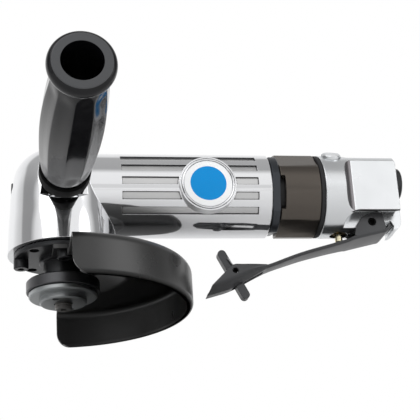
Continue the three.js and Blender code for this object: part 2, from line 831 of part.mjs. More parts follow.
// Spindle with wheel thread, shoulder, bearing journals and keyway
function spindle() {
  const seatBottom = -innerFlangeBottom;
  const journalBottom = -lowerBearingBottom - fitGap;
  const top = upperBearingBottom + upperBearingWidth - fitGap;
  const chamfer = screwChamfer;
  const outline = [
    [0, -spindleEnd], [spindleThreadRadius - chamfer, -spindleEnd],
    [spindleThreadRadius, chamfer - spindleEnd], [spindleThreadRadius, seatBottom],
    [spindleSeatRadius, seatBottom], [spindleSeatRadius, -spindleShoulderStation],
    [spindleShoulderRadius, -spindleShoulderStation], [spindleShoulderRadius, journalBottom],
    [spindleSeatRadius, journalBottom], [spindleSeatRadius, spindleSeatTop],
    [spindleUpperRadius, spindleSeatTop], [spindleUpperRadius, headCavityTop],
    [spindleTopRadius, headCavityTop], [spindleTopRadius, top], [0, top],
  ];
  const depth = spindleCentreDepth - spindleEnd;
  const centre = rod(spindleCentreRadius, -spindleEnd - cutOverrun, depth, axisZ, smallHoleSides);
  return cut(revolve(outline, axisZ), centre, keySlot());
}

// Room for the key, cut alike into spindle and gear
function keySlot() {
  const half = keyWidth / 2 + fitGap;
  const low = [keyInner - fitGap, -half, -keyBottom - fitGap];
  return block(low, [keyOuter + fitGap, half, fitGap - keyTop]);
}

function gearKey() {
  const half = keyWidth / 2;
  return block([keyInner, -half, -keyBottom], [keyOuter, half, -keyTop]);
}

// Angles of the outline points of one bevel wheel: root, flank and tip of each tooth
function toothAngles(teeth, pitchRadius) {
  const half = (Math.PI * pitchRadius / teeth - toothBacklash) / 2 / pitchRadius;
  const pitch = 2 * Math.PI / teeth;
  return Array.from({ length: teeth }, (_, i) => [
    { angle: i * pitch - half * toothRootShare, tip: false },
    { angle: i * pitch - half * toothTipShare, tip: true },
    { angle: i * pitch + half * toothTipShare, tip: true },
    { angle: i * pitch + half * toothRootShare, tip: false },
  ]).flat();
}

// Bevel wheel about +Z with its apex at the origin and its teeth facing up, away from the back
function bevelWheel(teeth, pitchRadius, mateRadius, bore, backOutline, startAngle) {
  const coneLength = Math.hypot(pitchRadius, mateRadius);
  const [sine, cosine] = [pitchRadius / coneLength, mateRadius / coneLength];
  const points = toothAngles(teeth, pitchRadius);
  const place = (radius, angle, z) => {
    const turned = angle + startAngle * deg;
    return new THREE.Vector3(radius * Math.cos(turned), radius * Math.sin(turned), z);
  };
  const toothRing = (scale) => points.map(({ angle, tip }) => {
    const height = tip ? toothAddendum : -toothDedendum;
    const radius = pitchRadius + height * cosine;
    const z = height * sine - mateRadius;
    return place(radius * scale, angle, z * scale);
  });
  const plainRing = ([radius, z]) => points.map(({ angle }) => place(radius, angle, z));
  const small = 1 - gearFaceWidth / coneLength;
  const faceInner = (-mateRadius - toothDedendum * sine) * small;
  const rings = [toothRing(small), toothRing(1), ...backOutline.map(plainRing)];
  return loftLoop([plainRing([bore, faceInner]), ...rings]);
}

function bevelGear() {
  const bore = spindleSeatRadius + fitGap;
  const rim = gearPitchRadius - toothDedendum;
  const back = -pinionPitchRadius - gearRimThickness;
  const outline = [[rim, back], [gearHubRadius, back - gearRimThickness / 2],
    [gearHubRadius, -gearHubBottom], [bore, -gearHubBottom]];
  const halfPitch = 180 / gearTeeth;
  const wheel = bevelWheel(gearTeeth, gearPitchRadius, pinionPitchRadius, bore, outline, halfPitch);
  return cut(wheel, keySlot());
}

// The pinion is made like the gear and then laid along the barrel
function pinion() {
  const bore = shaftRadius + fitGap;
  const rim = pinionPitchRadius - toothDedendum;
  const back = -gearPitchRadius - pinionRimThickness;
  const hubEnd = fitGap - frontBearingStation;
  const outline = [[rim, back], [pinionHubRadius, back], [pinionHubRadius, hubEnd], [bore, hubEnd]];
  const wheel = bevelWheel(pinionTeeth, pinionPitchRadius, gearPitchRadius, bore, outline, 0);
  return wheel.rotateY(-Math.PI / 2);
}

// Sealed ball bearing: both races and the set-back shields as one ring
function bearing(bore, radius, width) {
  const rim = (radius - bore) * bearingRimShare;
  const inset = bearingShieldInset;
  return revolve([
    [bore, 0], [bore + rim, 0], [bore + rim, inset], [radius - rim, inset], [radius - rim, 0], [radius, 0],
    [radius, width], [radius - rim, width], [radius - rim, width - inset], [bore + rim, width - inset],
    [bore + rim, width], [bore, width],
  ], axisZ);
}

function innerFlange() {
  const bore = spindleSeatRadius + fitGap;
  const chamfer = flangeChamfer;
  const seatInner = innerFlangeRadius - innerFlangeSeatWidth;
  const outline = [
    [bore, -innerFlangeBottom + innerFlangeRelief], [seatInner, -innerFlangeBottom + innerFlangeRelief],
    [seatInner, -innerFlangeBottom], [innerFlangeRadius, -innerFlangeBottom],
    [innerFlangeRadius, -innerFlangeTop - chamfer], [innerFlangeRadius - chamfer, -innerFlangeTop],
    [bore, -innerFlangeTop],
  ];
  return revolve(outline, axisZ, middleSegments);
}

function outerFlangeNut() {
  const bore = spindleThreadRadius + fitGap;
  const discBottom = nutTop + nutDiscThickness;
  const bottom = discBottom + nutBossHeight;
  const chamfer = flangeChamfer;
  const outline = [
    [bore, -bottom], [nutBossRadius - chamfer, -bottom], [nutBossRadius, chamfer - bottom],
    [nutBossRadius, -discBottom], [nutDiscRadius - chamfer, -discBottom],
    [nutDiscRadius, chamfer - discBottom], [nutDiscRadius, -nutTop], [bore, -nutTop],
  ];
  const tools = [1, -1].map((side) => {
    const tool = rod(nutPinRadius, -bottom - cutOverrun, nutPinDepth - bottom, axisZ);
    return tool.translate(side * nutPinCircle, 0, 0);
  });
  return cut(revolve(outline, axisZ, middleSegments), ...tools);
}

// Vane motor
function frontEndPlate() {
  const pocket = rotorBearingRadius + fitGap;
  const pocketEnd = frontBearingStation + rotorBearingWidth + fitGap;
  const rear = frontPlateStation + endPlateThickness;
  const outline = [
    [pocket, frontPlateStation], [spigotRadius, frontPlateStation], [spigotRadius, rear],
    [shaftHoleRadius, rear], [shaftHoleRadius, pocketEnd], [pocket, pocketEnd],
  ];
  return revolve(outline, axisX, middleSegments);
}

function rearEndPlate() {
  const pocket = rearBearingRadius + fitGap;
  const pocketStart = rearBearingStation - fitGap;
  const rear = rearPlateStation + rearPlateThickness;
  const outline = [
    [shaftHoleRadius, rearPlateStation], [spigotRadius, rearPlateStation], [spigotRadius, rear],
    [pocket, rear], [pocket, pocketStart], [shaftHoleRadius, pocketStart],
  ];
  return revolve(outline, axisX, middleSegments);
}

// The bore lies off centre, so the vanes open and close chambers as the rotor turns
function cylinderLiner() {
  const rear = linerStation + linerLength;
  const outer = rod(spigotRadius, linerStation, rear, axisX, middleSegments);
  const bore = rod(linerBoreRadius, linerStation - cutOverrun, rear + cutOverrun, axisX, middleSegments);
  const middle = linerStation + linerLength / 2;
  const ports = Array.from({ length: linerPortCount }, (_, i) => {
    const station = middle + (i - (linerPortCount - 1) / 2) * linerPortPitch;
    const half = [linerPortLength / 2, linerPortWidth / 2];
    const low = [station - half[0], 0, -half[1]];
    return block(low, [station + half[0], spigotRadius + cutOverrun, half[1]]);
  });
  return cut(outer, bore.translate(0, 0, linerEccentricity), ...ports);
}

function rotor() {
  const frontShoulder = frontBearingStation + rotorBearingWidth + fitGap;
  const rearShoulder = rearBearingStation - fitGap;
  const rear = rearPlateStation + rearPlateThickness + fitGap;
  const outline = [
    [0, shaftFront], [shaftRadius, shaftFront], [shaftRadius, frontShoulder],
    [shaftShoulderRadius, frontShoulder], [shaftShoulderRadius, rotorFront], [rotorRadius, rotorFront],
    [rotorRadius, rotorRear], [shaftShoulderRadius, rotorRear], [shaftShoulderRadius, rearShoulder],
    [shaftRadius, rearShoulder], [shaftRadius, rear], [0, rear],
  ];
  const half = vaneThickness / 2 + fitGap;
  const slots = Array.from({ length: vaneCount }, (_, i) => {
    const low = [rotorFront - cutOverrun, -half, vaneInner - fitGap];
    const slot = block(low, [rotorRear + cutOverrun, half, rotorRadius + cutOverrun]);
    return slot.rotateX(i * 2 * Math.PI / vaneCount);
  });
  return cut(revolve(outline, axisX, middleSegments), ...slots);
}

function vane() {
  const half = vaneThickness / 2;
  return block([rotorFront, -half, vaneInner], [rotorRear, half, rotorRadius]);
}

// Rings on the spigot of the valve housing
function facetTool(depth, angle, from, to) {
  const wide = barrelRadius;
  const low = [from - cutOverrun, -barrelRadius - cutOverrun, -wide];
  return turnedUp(block(low, [to + cutOverrun, depth - barrelRadius, wide]), angle);
}

function lockRing() {
  const rear = lockRingFront + lockRingWidth;
  const plain = ring(motorBoreRadius, barrelRadius, lockRingFront, rear, axisX, fineSegments);
  const flats = Array.from({ length: lockRingFlats }, (_, i) => {
    const angle = lockRingAngle + i * 360 / lockRingFlats;
    return facetTool(lockRingFlatDepth, angle, lockRingFront, rear);
  });
  return cut(plain, ...flats);
}

function exhaustSleeve() {
  const rear = sleeveFront + sleeveWidth;
  const plain = ring(motorBoreRadius, barrelRadius, sleeveFront, rear, axisX, fineSegments);
  const flats = Array.from({ length: sleeveFlats }, (_, i) => {
    const angle = sleeveFlatAngle + i * 360 / sleeveFlats;
    return facetTool(sleeveFlatDepth, angle, sleeveFront, rear);
  });
  const slots = Array.from({ length: exhaustSlots }, (_, i) => {
    const [inner, outer] = [motorBoreRadius - cutOverrun, barrelRadius + cutOverrun];
    const end = sleeveFront + exhaustSlotLength;
    const slot = barrelSector(inner, outer, exhaustSlotHalfAngle, sleeveFront - cutOverrun, end);
    return turnedUp(slot, exhaustSlotAngle + i * 360 / exhaustSlots);
  });
  return cut(plain, ...flats, ...slots);
}

function rearGasket() {
  const outer = barrelRadius - gasketInset;
  return ring(motorBoreRadius, outer, gasketFront, gasketFront + gasketWidth, axisX, fineSegments);
}

// Valve housing: spigot into the barrel, round body, square block with run-out groove
function valveHousingBody() {
  const outline = [
    [0, spigotFront], [spigotRadius, spigotFront], [spigotRadius, shoulderStation],
    [barrelRadius, shoulderStation], [barrelRadius, valveHousingRear - rimChamfer],
    [barrelRadius - rimChamfer, valveHousingRear], [0, valveHousingRear],
  ];
  return revolve(outline, axisX, fineSegments);
}

// Removes all above the block's face and runs out to the round body in a hollow curve
function blockFaceTool(offset) {
  const top = barrelRadius + cutOverrun;
  const arc = arcPoints(blockFront, offset + blockRunOut, blockRunOut, 180, 270, 5);
  const rear = valveHousingRear + cutOverrun;
  const front = blockFront - blockRunOut;
  const shape = flatShape([[front, top], ...arc, [rear, offset], [rear, top]]);
  return prism(shape, axisY, -top, top);
}

// Pocket beside the tongue, where a lever ear swings; its roof rises towards the tongue
function earPocketTool(side) {
  const low = -barrelRadius - cutOverrun;
  const past = valveHousingRear + cutOverrun;
  const centre = [earPocketFront + earPocketRounding, -earPocketTop - earPocketRounding];
  const arc = arcPoints(...centre, earPocketRounding, 180, 90, 5);
  const shape = flatShape([[earPocketFront, low], ...arc, [past, -earPocketTop], [past, low]]);
  const tool = prism(shape, axisY, -barrelRadius - cutOverrun, -tongueHalfWidth);
  const lean = new THREE.Matrix4().makeShear(0, 0, 0, earPocketRise, 0, 0);
  tool.translate(0, blockHalfWidth, 0).applyMatrix4(lean).translate(0, -blockHalfWidth, 0);
  return side > 0 ? tool.scale(1, -1, 1) : tool;
}

// Tongue between the lever's ears, standing out behind the block with a rounded corner
function tongueEnd() {
  const rear = valveHousingRear + tongueOverhang;
  const corner = [rear - tongueRounding, tongueRounding - tongueBottom];
  const arc = arcPoints(...corner, tongueRounding, 0, -90, 4);
  const front = heelNotchRear - tongueRounding;
  const under = [[front, -tongueTop], [front, -tongueBottom], ...arc.reverse()];
  const shape = flatShape([...under, [rear, -tongueTop]]);
  return prism(shape, axisY, -tongueHalfWidth, tongueHalfWidth);
}

// Room in the tongue for the lever's heel
function heelNotchTool() {
  const low = -barrelRadius - cutOverrun;
  const shape = flatShape([
    [heelReliefFront, low], [heelReliefFront, -heelReliefTop], [heelNotchStation, -heelNotchTop],
    [heelNotchRear, -heelReliefTop], [heelNotchStation, low],
  ]);
  const wide = tongueHalfWidth + cutOverrun;
  return prism(shape, axisY, -wide, wide);
}

function valvePassages() {
  const threadHole = inletThreadRadius + fitGap;
  const threadFloor = inletThreadFront - screenThickness - 2 * fitGap;
  const past = valveHousingRear + cutOverrun;
  const valveBore = rod(valveBoreRadius, -barrelRadius - cutOverrun, valveBoreTop, axisZ);
  const outlet = rod(valveOutletRadius, spigotBoreRear - cutOverrun, valveStation, axisX);
  return [
    rod(spigotBoreRadius, spigotFront - cutOverrun, spigotBoreRear, axisX, middleSegments),
    valveBore.translate(valveStation, 0, 0),
    outlet.translate(0, 0, valveOutletHeight),
    rod(inletPassageRadius, valveStation, past, axisX).translate(0, 0, inletHeight),
    rod(threadHole, threadFloor, past, axisX).translate(0, 0, inletHeight),
  ];
}

function regulatorBore() {
  const direction = aroundBarrel(regulatorAngle);
  const seat = regulatorFace - regulatorDiscThickness - fitGap;
  const past = barrelRadius + cutOverrun;
  return [
    rod(regulatorDiscRadius + fitGap, seat, past, direction),
    rod(regulatorStemRadius + fitGap, regulatorStemEnd - fitGap, past, direction),
  ].map((tool) => tool.translate(regulatorStation, 0, 0));
}

function valveHousing() {
  const faces = [
    blockFaceTool(blockTop),
    blockFaceTool(blockHalfWidth).rotateX(90 * deg),
    blockFaceTool(blockHalfWidth).rotateX(-90 * deg),
  ];
  const wide = tongueHalfWidth + cutOverrun;
  const low = -barrelRadius - cutOverrun;
  const past = valveHousingRear + tongueOverhang + cutOverrun;
  const tongueTool = block([tongueFront, -wide, low], [past, wide, -tongueBottom]);
  const pinHole = rod(pivotPinRadius + fitGap, -barrelRadius, barrelRadius, axisY);
  pinHole.translate(pivotStation, 0, -pivotDrop);
  const body = cut(valveHousingBody(), ...faces, earPocketTool(1), earPocketTool(-1));
  const tools = [tongueTool, heelNotchTool(), pinHole, ...valvePassages(), ...regulatorBore()];
  return cut(join(body, tongueEnd()), ...tools);
}

function inletBushing() {
  const collarStart = valveHousingRear + fitGap;
  const outline = [
    [inletBoreRadius, inletThreadFront], [inletThreadRadius, inletThreadFront],
    [inletThreadRadius, collarStart], [inletCollarRadius, collarStart],
    [inletCollarRadius, inletEnd - inletChamfer], [inletCollarRadius - inletChamfer, inletEnd],
    [inletBoreRadius, inletEnd],
  ];
  const wide = inletCollarRadius + cutOverrun;
  const flats = [1, -1].map((side) => {
    const [low, high] = [side * inletFlatHalf, side * wide].sort((a, b) => a - b);
    return block([collarStart, low, -wide], [inletEnd + cutOverrun, high, wide]);
  });
  return cut(revolve(outline, axisX, middleSegments), ...flats).translate(0, 0, inletHeight);
}

function inletScreen() {
  const front = inletThreadFront - fitGap - screenThickness;
  const disc = rod(inletThreadRadius, front, front + screenThickness, axisX, middleSegments);
  const past = front + screenThickness + cutOverrun;
  const hole = () => rod(screenHoleRadius, front - cutOverrun, past, axisX, screenHoleSides);
  const holes = Array.from({ length: screenHoles }, (_, i) => {
    return hole().translate(0, 0, screenHoleCircle).rotateX(i * 2 * Math.PI / screenHoles);
  });
  return cut(disc, hole(), ...holes).translate(0, 0, inletHeight);
}

// Throttle valve
function valveStem() {
  const dome = valveStemDomeShares.map(([radiusShare, riseShare]) => [
    radiusShare * valveStemRadius,
    riseShare * valveStemRadius - valveStemEnd,
  ]);
  const outline = [
    ...dome, [valveStemRadius, -valveHeadBottom], [valveHeadRadius, -valveHeadBottom],
    [valveHeadRadius, -valveHeadTop], [0, -valveHeadTop],
  ];
  return revolve(outline, axisZ).translate(valveStation, 0, 0);
}

function valveBushing() {
  const inner = valveStemRadius + fitGap;
  const outer = valveBoreRadius - fitGap;
  return ring(inner, outer, -valveBushingEnd, -valveBushingTop, axisZ).translate(valveStation, 0, 0);
}

function valveSpring() {
  const bottom = fitGap + springWire - valveHeadTop;
  const height = valveBoreTop - fitGap - springWire - bottom;
  const path = new Helix(springCoilRadius, height, springTurns);
  const steps = springTurns * springStepsPerTurn;
  const coil = wire(path, springWire, steps, 2);
  return coil.translate(valveStation, 0, bottom);
}

function regulatorKnob() {
  const seat = regulatorFace - regulatorDiscThickness;
  const chamfer = screwChamfer;
  const outline = [
    [0, regulatorStemEnd], [regulatorStemRadius, regulatorStemEnd], [regulatorStemRadius, seat],
    [regulatorDiscRadius, seat], [regulatorDiscRadius, regulatorFace - chamfer],
    [regulatorDiscRadius - chamfer, regulatorFace], [0, regulatorFace],
  ];
  const wide = regulatorDiscRadius + cutOverrun;
  const half = regulatorSlotWidth / 2;
  const low = [-wide, -regulatorFace - cutOverrun, -half];
  const slot = block(low, [wide, regulatorSlotDepth - regulatorFace, half]);
  const knob = cut(revolve(outline, nearSide), slot);
  return turnedUp(knob, regulatorAngle).translate(regulatorStation, 0, 0);
}

// Throttle lever: bent plate with a pair of ears at the pivot and a hollow nose
function leverPoint([alongShare, dropShare]) {
  return [leverHeelStation - alongShare * leverLength, -leverHeelDrop - dropShare * leverDrop];
}

function leverUnderside() {
  return leverUndersideShares.map(leverPoint);
}

function leverPlate() {
  const side = flatShape(stripOutline(leverUnderside(), -leverThickness));
  const half = leverWidthShares.map(([alongShare, widthShare]) => [
    leverHeelStation - alongShare * leverLength,
    widthShare * leverHalfWidth,
  ]);
  const plan = flatShape([...half, ...half.map(([x, y]) => [x, -y]).reverse()]);
  const whole = prism(side, axisY, -leverHalfWidth, leverHalfWidth);
  return common(whole, prism(plan, axisZ, -leverHeelDrop - leverDrop, 0));
}

// Ear outlines end inside the plate, along its middle
function plateMiddle(from, to) {
  const path = leverUnderside();
  return path.map((_, i) => offsetPoint(path, i, -leverThickness / 2)).slice(from, to);
}

function leverEars() {
  const outline = rearEarShares.map(([alongShare, riseShare]) => [
    pivotStation + alongShare * rearEarReach,
    riseShare * rearEarRise - pivotDrop,
  ]);
  const shape = flatShape([...outline, ...plateMiddle(2, 4)]);
  const inner = leverHalfWidth - leverThickness;
  return [
    prism(shape, axisY, inner, leverHalfWidth),
    prism(shape, axisY, -leverHalfWidth, -inner),
  ];
}

// One section of the nose; the hollow is drawn a sheet's thickness further in and open above
function noseSection([alongShare, ...corners], isTip, inset, above) {
  const [rim, bend, keel] = corners.map(([widthShare, dropShare], i) => {
    const [x, z] = leverPoint([alongShare, dropShare]);
    const lead = isTip && i === 2 ? noseKeelLead : 0;
    return [x - lead, widthShare * leverHalfWidth - inset, z];
  });
  rim[2] += above;
  bend[2] += inset / 2;
  keel[2] += inset;
  const near = [rim, bend, keel].map(([x, y, z]) => new THREE.Vector3(x, -y, z));
  const far = [keel, bend, rim].map(([x, y, z]) => new THREE.Vector3(x, y, z));
  return [...near, ...far];
}

function leverNose() {
  const last = noseSectionShares.length - 1;
  const outer = noseSectionShares.map((row, i) => noseSection(row, i === last, 0, 0));
  const inner = noseSectionShares.map((row, i) => noseSection(row, i === last, leverThickness, cutOverrun));
  const lead = new THREE.Vector3(noseHollowStart * noseKeelLead, 0, 0);
  inner[0].forEach((point) => point.sub(lead));
  inner.push(inner[last].map((point) => point.clone().sub(lead)));
  return cut(cappedLoft(outer), cappedLoft(inner));
}

function throttleLever() {
  const [pinStation, pinHeight] = leverPoint(safetyPinShare);
  const pivotHole = rod(pivotPinRadius + fitGap, -barrelRadius, barrelRadius, axisY);
  const pinHole = rod(safetyPinRadius + fitGap, -barrelRadius, barrelRadius, axisY);
  const half = safetyHalfThickness + fitGap;
  const front = pinStation - safetySlotLead;
  const rear = pinStation + safetyLowerReach + safetySlotRun;
  const deep = pinHeight - leverDrop;
  const slot = block([front, -half, deep], [rear, half, pinHeight + cutOverrun]);
  pivotHole.translate(pivotStation, 0, -pivotDrop);
  pinHole.translate(pinStation, 0, pinHeight);
  return cut(join(leverPlate(), ...leverEars(), leverNose()), pivotHole, pinHole, slot);
}

function leverPin() {
  const end = leverHalfWidth + 2 * fitGap;
  return rod(pivotPinRadius, -end, end, axisY).translate(pivotStation, 0, -pivotDrop);
}

// Safety lever upright about its pin at the local origin, then leant back
function safetyLever() {
  const half = safetyWidth / 2;
  const shape = flatShape([
    ...arcPoints(0, safetyUpperReach - half, half, 0, 180, 8),
    ...arcPoints(0, half - safetyLowerReach, half, 180, 360, 8),
  ]);
  const bar = prism(shape, axisY, -safetyHalfThickness, safetyHalfThickness);
  const hole = rod(safetyPinRadius + fitGap, -safetyWidth, safetyWidth, axisY);
  return placedOnSafetyPin(cut(bar, hole));
}

function placedOnSafetyPin(geometry) {
  const [station, height] = leverPoint(safetyPinShare);
  return geometry.rotateY(-safetyLean * deg).translate(station, 0, height);
}

function safetyPin() {
  const [station, height] = leverPoint(safetyPinShare);
  const end = safetyPinHalfLength;
  return rod(safetyPinRadius, -end, end, axisY).translate(station, 0, height);
}

// Torsion spring beside the safety lever: coils round the pin and one leg up the lever
function safetySpring() {
  const height = safetyCoilPitch * safetyCoilTurns;
  const coil = wire(new Helix(safetyCoilRadius, height, safetyCoilTurns), safetyWire, safetyCoilSteps, 2);
  const laid = coil.rotateX(90 * deg).translate(0, -safetyHalfThickness - fitGap - safetyWire, 0);
  const legStart = new THREE.Vector3(safetyCoilRadius, -safetyHalfThickness - fitGap - safetyWire, 0);
  const legEnd = legStart.clone().add(new THREE.Vector3(-safetyCoilRadius / 2, 0, safetyLegReach));
  const leg = wire(new THREE.LineCurve3(legStart, legEnd), safetyWire, 1, 2);
  return placedOnSafetyPin(join(laid, leg));
}

// Side handle
function handleCollar() {
  const bore = studRadius + fitGap;
  const end = collarStart + collarThickness;
  const outline = [
    [bore, collarStart], [collarRadius - collarRim, collarStart], [collarRadius, collarStart + collarRim],
    [collarRadius, end - collarRim], [collarRadius - collarRim, end], [bore, end],
  ];
  return revolve(outline, nearSide, middleSegments);
}

function handleStud() {
  const start = handleBossEnd - handleHoleDepth + fitGap;
  return rod(studRadius, start, studEnd, nearSide);
}

function gripRing(share, radius) {
  const count = gripFlutes * gripPointsPerFlute;
  const station = gripStart + share * (handleEnd - gripStart);
  const fluted = share > gripFluteStartShare && share < gripFluteEndShare;
  return Array.from({ length: count }, (_, i) => {
    const angle = 2 * Math.PI * i / count;
    const wave = (1 - Math.cos(gripFlutes * angle)) / 2;
    const depth = fluted ? gripFluteDepth * wave : 0;
    const reach = radius - depth;
    return new THREE.Vector3(reach * Math.cos(angle), -station, reach * Math.sin(angle));
  });
}

// Grip: swelling body with shallow flutes, end flange and an open core hole
function grip() {
  const bore = studRadius + fitGap;
  const length = handleEnd - gripStart;
  const studShare = (studEnd + fitGap - gripStart) / length;
  const holeShare = 1 - gripHoleDepth / length;
  const outer = gripOutlineShares.map(([share, radiusShare]) => gripRing(share, radiusShare * gripRadius));
  const core = rod(bore, gripStart - cutOverrun, gripStart + studShare * length, nearSide);
  const holeStart = gripStart + holeShare * length;
  const hole = rod(gripHoleRadius, holeStart, handleEnd + cutOverrun, nearSide, middleSegments);
  return cut(cappedLoft(outer), core, hole);
}

// Closes a stack of rings with a flat end at each side
function cappedLoft(rings) {
  const middleOf = (points) => points
    .reduce((sum, point) => sum.add(point), new THREE.Vector3())
    .divideScalar(points.length);
  const [first, last] = [rings[0], rings[rings.length - 1]];
  const caps = [first, last].map((points) => points.map(() => middleOf(points)));
  return loftLoop([caps[0], ...rings, caps[1]]);
}

// Looks: colour, roughness, metalness
const looks = {
  polished: { color: 0xb9bcc0, roughness: 0.12, metalness: 1 },
  castAlloy: { color: 0xc9cbcd, roughness: 0.42, metalness: 0.9 },
  darkMetal: { color: 0x4a4641, roughness: 0.35, metalness: 0.9 },
  slateMetal: { color: 0x353a40, roughness: 0.4, metalness: 0.8 },
  blackCoat: { color: 0x1b1c1e, roughness: 0.45, metalness: 0.1 },
  blackSteel: { color: 0x2a2b2d, roughness: 0.4, metalness: 0.8 },
  greyPaint: { color: 0x3b3c3e, roughness: 0.45, metalness: 0.2 },
  gloss: { color: 0x131416, roughness: 0.25, metalness: 0 },
  steel: { color: 0x9ea1a4, roughness: 0.3, metalness: 1 },
  gearSteel: { color: 0x77797b, roughness: 0.35, metalness: 1 },
  brass: { color: 0xb8923e, roughness: 0.35, metalness: 1 },
  rubber: { color: 0x26272a, roughness: 0.85, metalness: 0 },
  vaneResin: { color: 0x5b3a22, roughness: 0.7, metalness: 0 },
  enamel: { color: 0xe9eaec, roughness: 0.25, metalness: 0 },
};

function part(group, name, geometry, look) {
  const material = new THREE.MeshStandardMaterial({ ...looks[look], flatShading: true });
  const mesh = new THREE.Mesh(join(geometry), material);
  mesh.name = name;
  group.add(mesh);
  return mesh;
}

// The tool group moves the crossing of the axes so that the whole part stands on its own box:
// centred in X and Y, with the guard's rim at zero height
const tool = new THREE.Group();
tool.position.set((headRadius - inletEnd) / 2, (handleEnd - guardRadius) / 2, guardRim);

const casing = new THREE.Group();
part(casing, 'housing', housing(), 'polished');
part(casing, 'badge_plate', badgeDisc(), 'enamel');
part(casing, 'badge_bezel', badgeBezel(), 'polished');
part(casing, 'grease_plug', greasePlug(), 'blackSteel');
part(casing, 'handle_hole_plug', handleHolePlug(), 'blackSteel');
part(casing, 'bearing_cap', bearingCap(), 'blackCoat');
part(casing, 'guard', guard(), 'blackCoat');
capScrewAngles.forEach((angle, i) => {
  const onGuard = i > 0;
  const sheet = onGuard ? guardThickness + fitGap : 0;
  const reach = capFlangeThickness + 2 * fitGap + screwReach + sheet;
  const screw = part(casing, `cap_screw_${i + 1}`, capScrew(reach), 'blackSteel');
  const height = -capBottom - fitGap - sheet;
  screw.position.set(screwCircle * Math.cos(angle * deg), screwCircle * Math.sin(angle * deg), height);
});

const gearHead = new THREE.Group();
part(gearHead, 'spindle', spindle(), 'steel');
part(gearHead, 'gear_key', gearKey(), 'steel');
part(gearHead, 'bevel_gear', bevelGear(), 'gearSteel');
part(gearHead, 'inner_flange', innerFlange(), 'blackSteel');
part(gearHead, 'outer_flange_nut', outerFlangeNut(), 'steel');
const lowerBore = spindleSeatRadius + fitGap;
const lowerBearing = bearing(lowerBore, lowerBearingRadius, lowerBearingWidth);
part(gearHead, 'lower_bearing', lowerBearing, 'steel').position.z = -lowerBearingBottom;
const upperBearing = bearing(spindleTopRadius + fitGap, upperBearingRadius, upperBearingWidth);
part(gearHead, 'upper_bearing', upperBearing, 'steel').position.z = upperBearingBottom;

const motor = new THREE.Group();
part(motor, 'pinion', pinion(), 'gearSteel');
part(motor, 'rotor', rotor(), 'steel');
for (let i = 0; i < vaneCount; i += 1) {
  part(motor, `vane_${i + 1}`, vane(), 'vaneResin').rotation.x = i * 2 * Math.PI / vaneCount;
}
part(motor, 'front_end_plate', frontEndPlate(), 'steel');
part(motor, 'cylinder_liner', cylinderLiner(), 'steel');
part(motor, 'rear_end_plate', rearEndPlate(), 'steel');
const shaftBore = shaftRadius + fitGap;
const frontBearing = bearing(shaftBore, rotorBearingRadius, rotorBearingWidth);
const frontRace = part(motor, 'front_rotor_bearing', frontBearing, 'steel');
frontRace.rotation.y = Math.PI / 2;
frontRace.position.x = frontBearingStation;
const rearBearing = bearing(shaftBore, rearBearingRadius, rearBearingWidth);
const rearRace = part(motor, 'rear_rotor_bearing', rearBearing, 'steel');
rearRace.rotation.y = Math.PI / 2;
rearRace.position.x = rearBearingStation;

const rearEnd = new THREE.Group();
part(rearEnd, 'lock_ring', lockRing(), 'slateMetal');
part(rearEnd, 'exhaust_sleeve', exhaustSleeve(), 'darkMetal');
part(rearEnd, 'rear_gasket', rearGasket(), 'rubber');
part(rearEnd, 'valve_housing', valveHousing(), 'castAlloy');
part(rearEnd, 'inlet_bushing', inletBushing(), 'blackSteel');
part(rearEnd, 'inlet_screen', inletScreen(), 'brass');
part(rearEnd, 'valve_bushing', valveBushing(), 'brass');
part(rearEnd, 'valve_stem', valveStem(), 'brass');
part(rearEnd, 'valve_spring', valveSpring(), 'steel');
part(rearEnd, 'regulator_knob', regulatorKnob(), 'slateMetal');
part(rearEnd, 'lever_pin', leverPin(), 'steel');
part(rearEnd, 'throttle_lever', throttleLever(), 'greyPaint');
part(rearEnd, 'safety_lever', safetyLever(), 'greyPaint');
part(rearEnd, 'safety_pin', safetyPin(), 'steel');
part(rearEnd, 'safety_spring', safetySpring(), 'steel');

const sideHandle = new THREE.Group();
part(sideHandle, 'handle_collar', handleCollar(), 'gloss');
part(sideHandle, 'side_handle_grip', grip(), 'gloss');
part(sideHandle, 'handle_stud', handleStud(), 'steel');

tool.add(casing, gearHead, motor, rearEnd, sideHandle);

const grinder = new THREE.Group();
grinder.add(tool);

export default grinder;
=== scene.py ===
# Pneumatic angle grinder: fine surfaces, materials, light and camera over the fixed frame.
# Pieces are drawn in millimetres about the crossing of the spindle and barrel axes, with +X
# back to the air inlet, and dress() sets them into the frame in metres.
from math import cos, hypot, pi, radians, sin

import bmesh
import bpy
from mathutils import Matrix, Vector


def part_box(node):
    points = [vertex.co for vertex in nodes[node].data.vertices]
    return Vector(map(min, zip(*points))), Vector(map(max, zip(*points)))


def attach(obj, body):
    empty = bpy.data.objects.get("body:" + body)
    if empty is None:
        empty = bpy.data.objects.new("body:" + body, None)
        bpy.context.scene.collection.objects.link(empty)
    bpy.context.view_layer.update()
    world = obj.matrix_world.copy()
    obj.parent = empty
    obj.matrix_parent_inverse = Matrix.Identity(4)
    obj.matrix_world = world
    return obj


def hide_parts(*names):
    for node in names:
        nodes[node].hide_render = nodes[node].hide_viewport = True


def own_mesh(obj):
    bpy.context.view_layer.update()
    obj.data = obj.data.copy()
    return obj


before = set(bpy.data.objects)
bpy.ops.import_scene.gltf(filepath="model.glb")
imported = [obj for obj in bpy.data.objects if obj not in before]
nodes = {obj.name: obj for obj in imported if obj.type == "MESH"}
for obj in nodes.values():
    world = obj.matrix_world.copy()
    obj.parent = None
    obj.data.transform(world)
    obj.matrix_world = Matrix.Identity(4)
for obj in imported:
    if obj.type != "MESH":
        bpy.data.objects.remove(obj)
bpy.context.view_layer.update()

# The crossing of the axes, from the boxes of a ring on the barrel and a flange on the spindle
MM = 0.001
ring_low, ring_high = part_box("rear_gasket")
barrel_height = (ring_low.z + ring_high.z) / 2
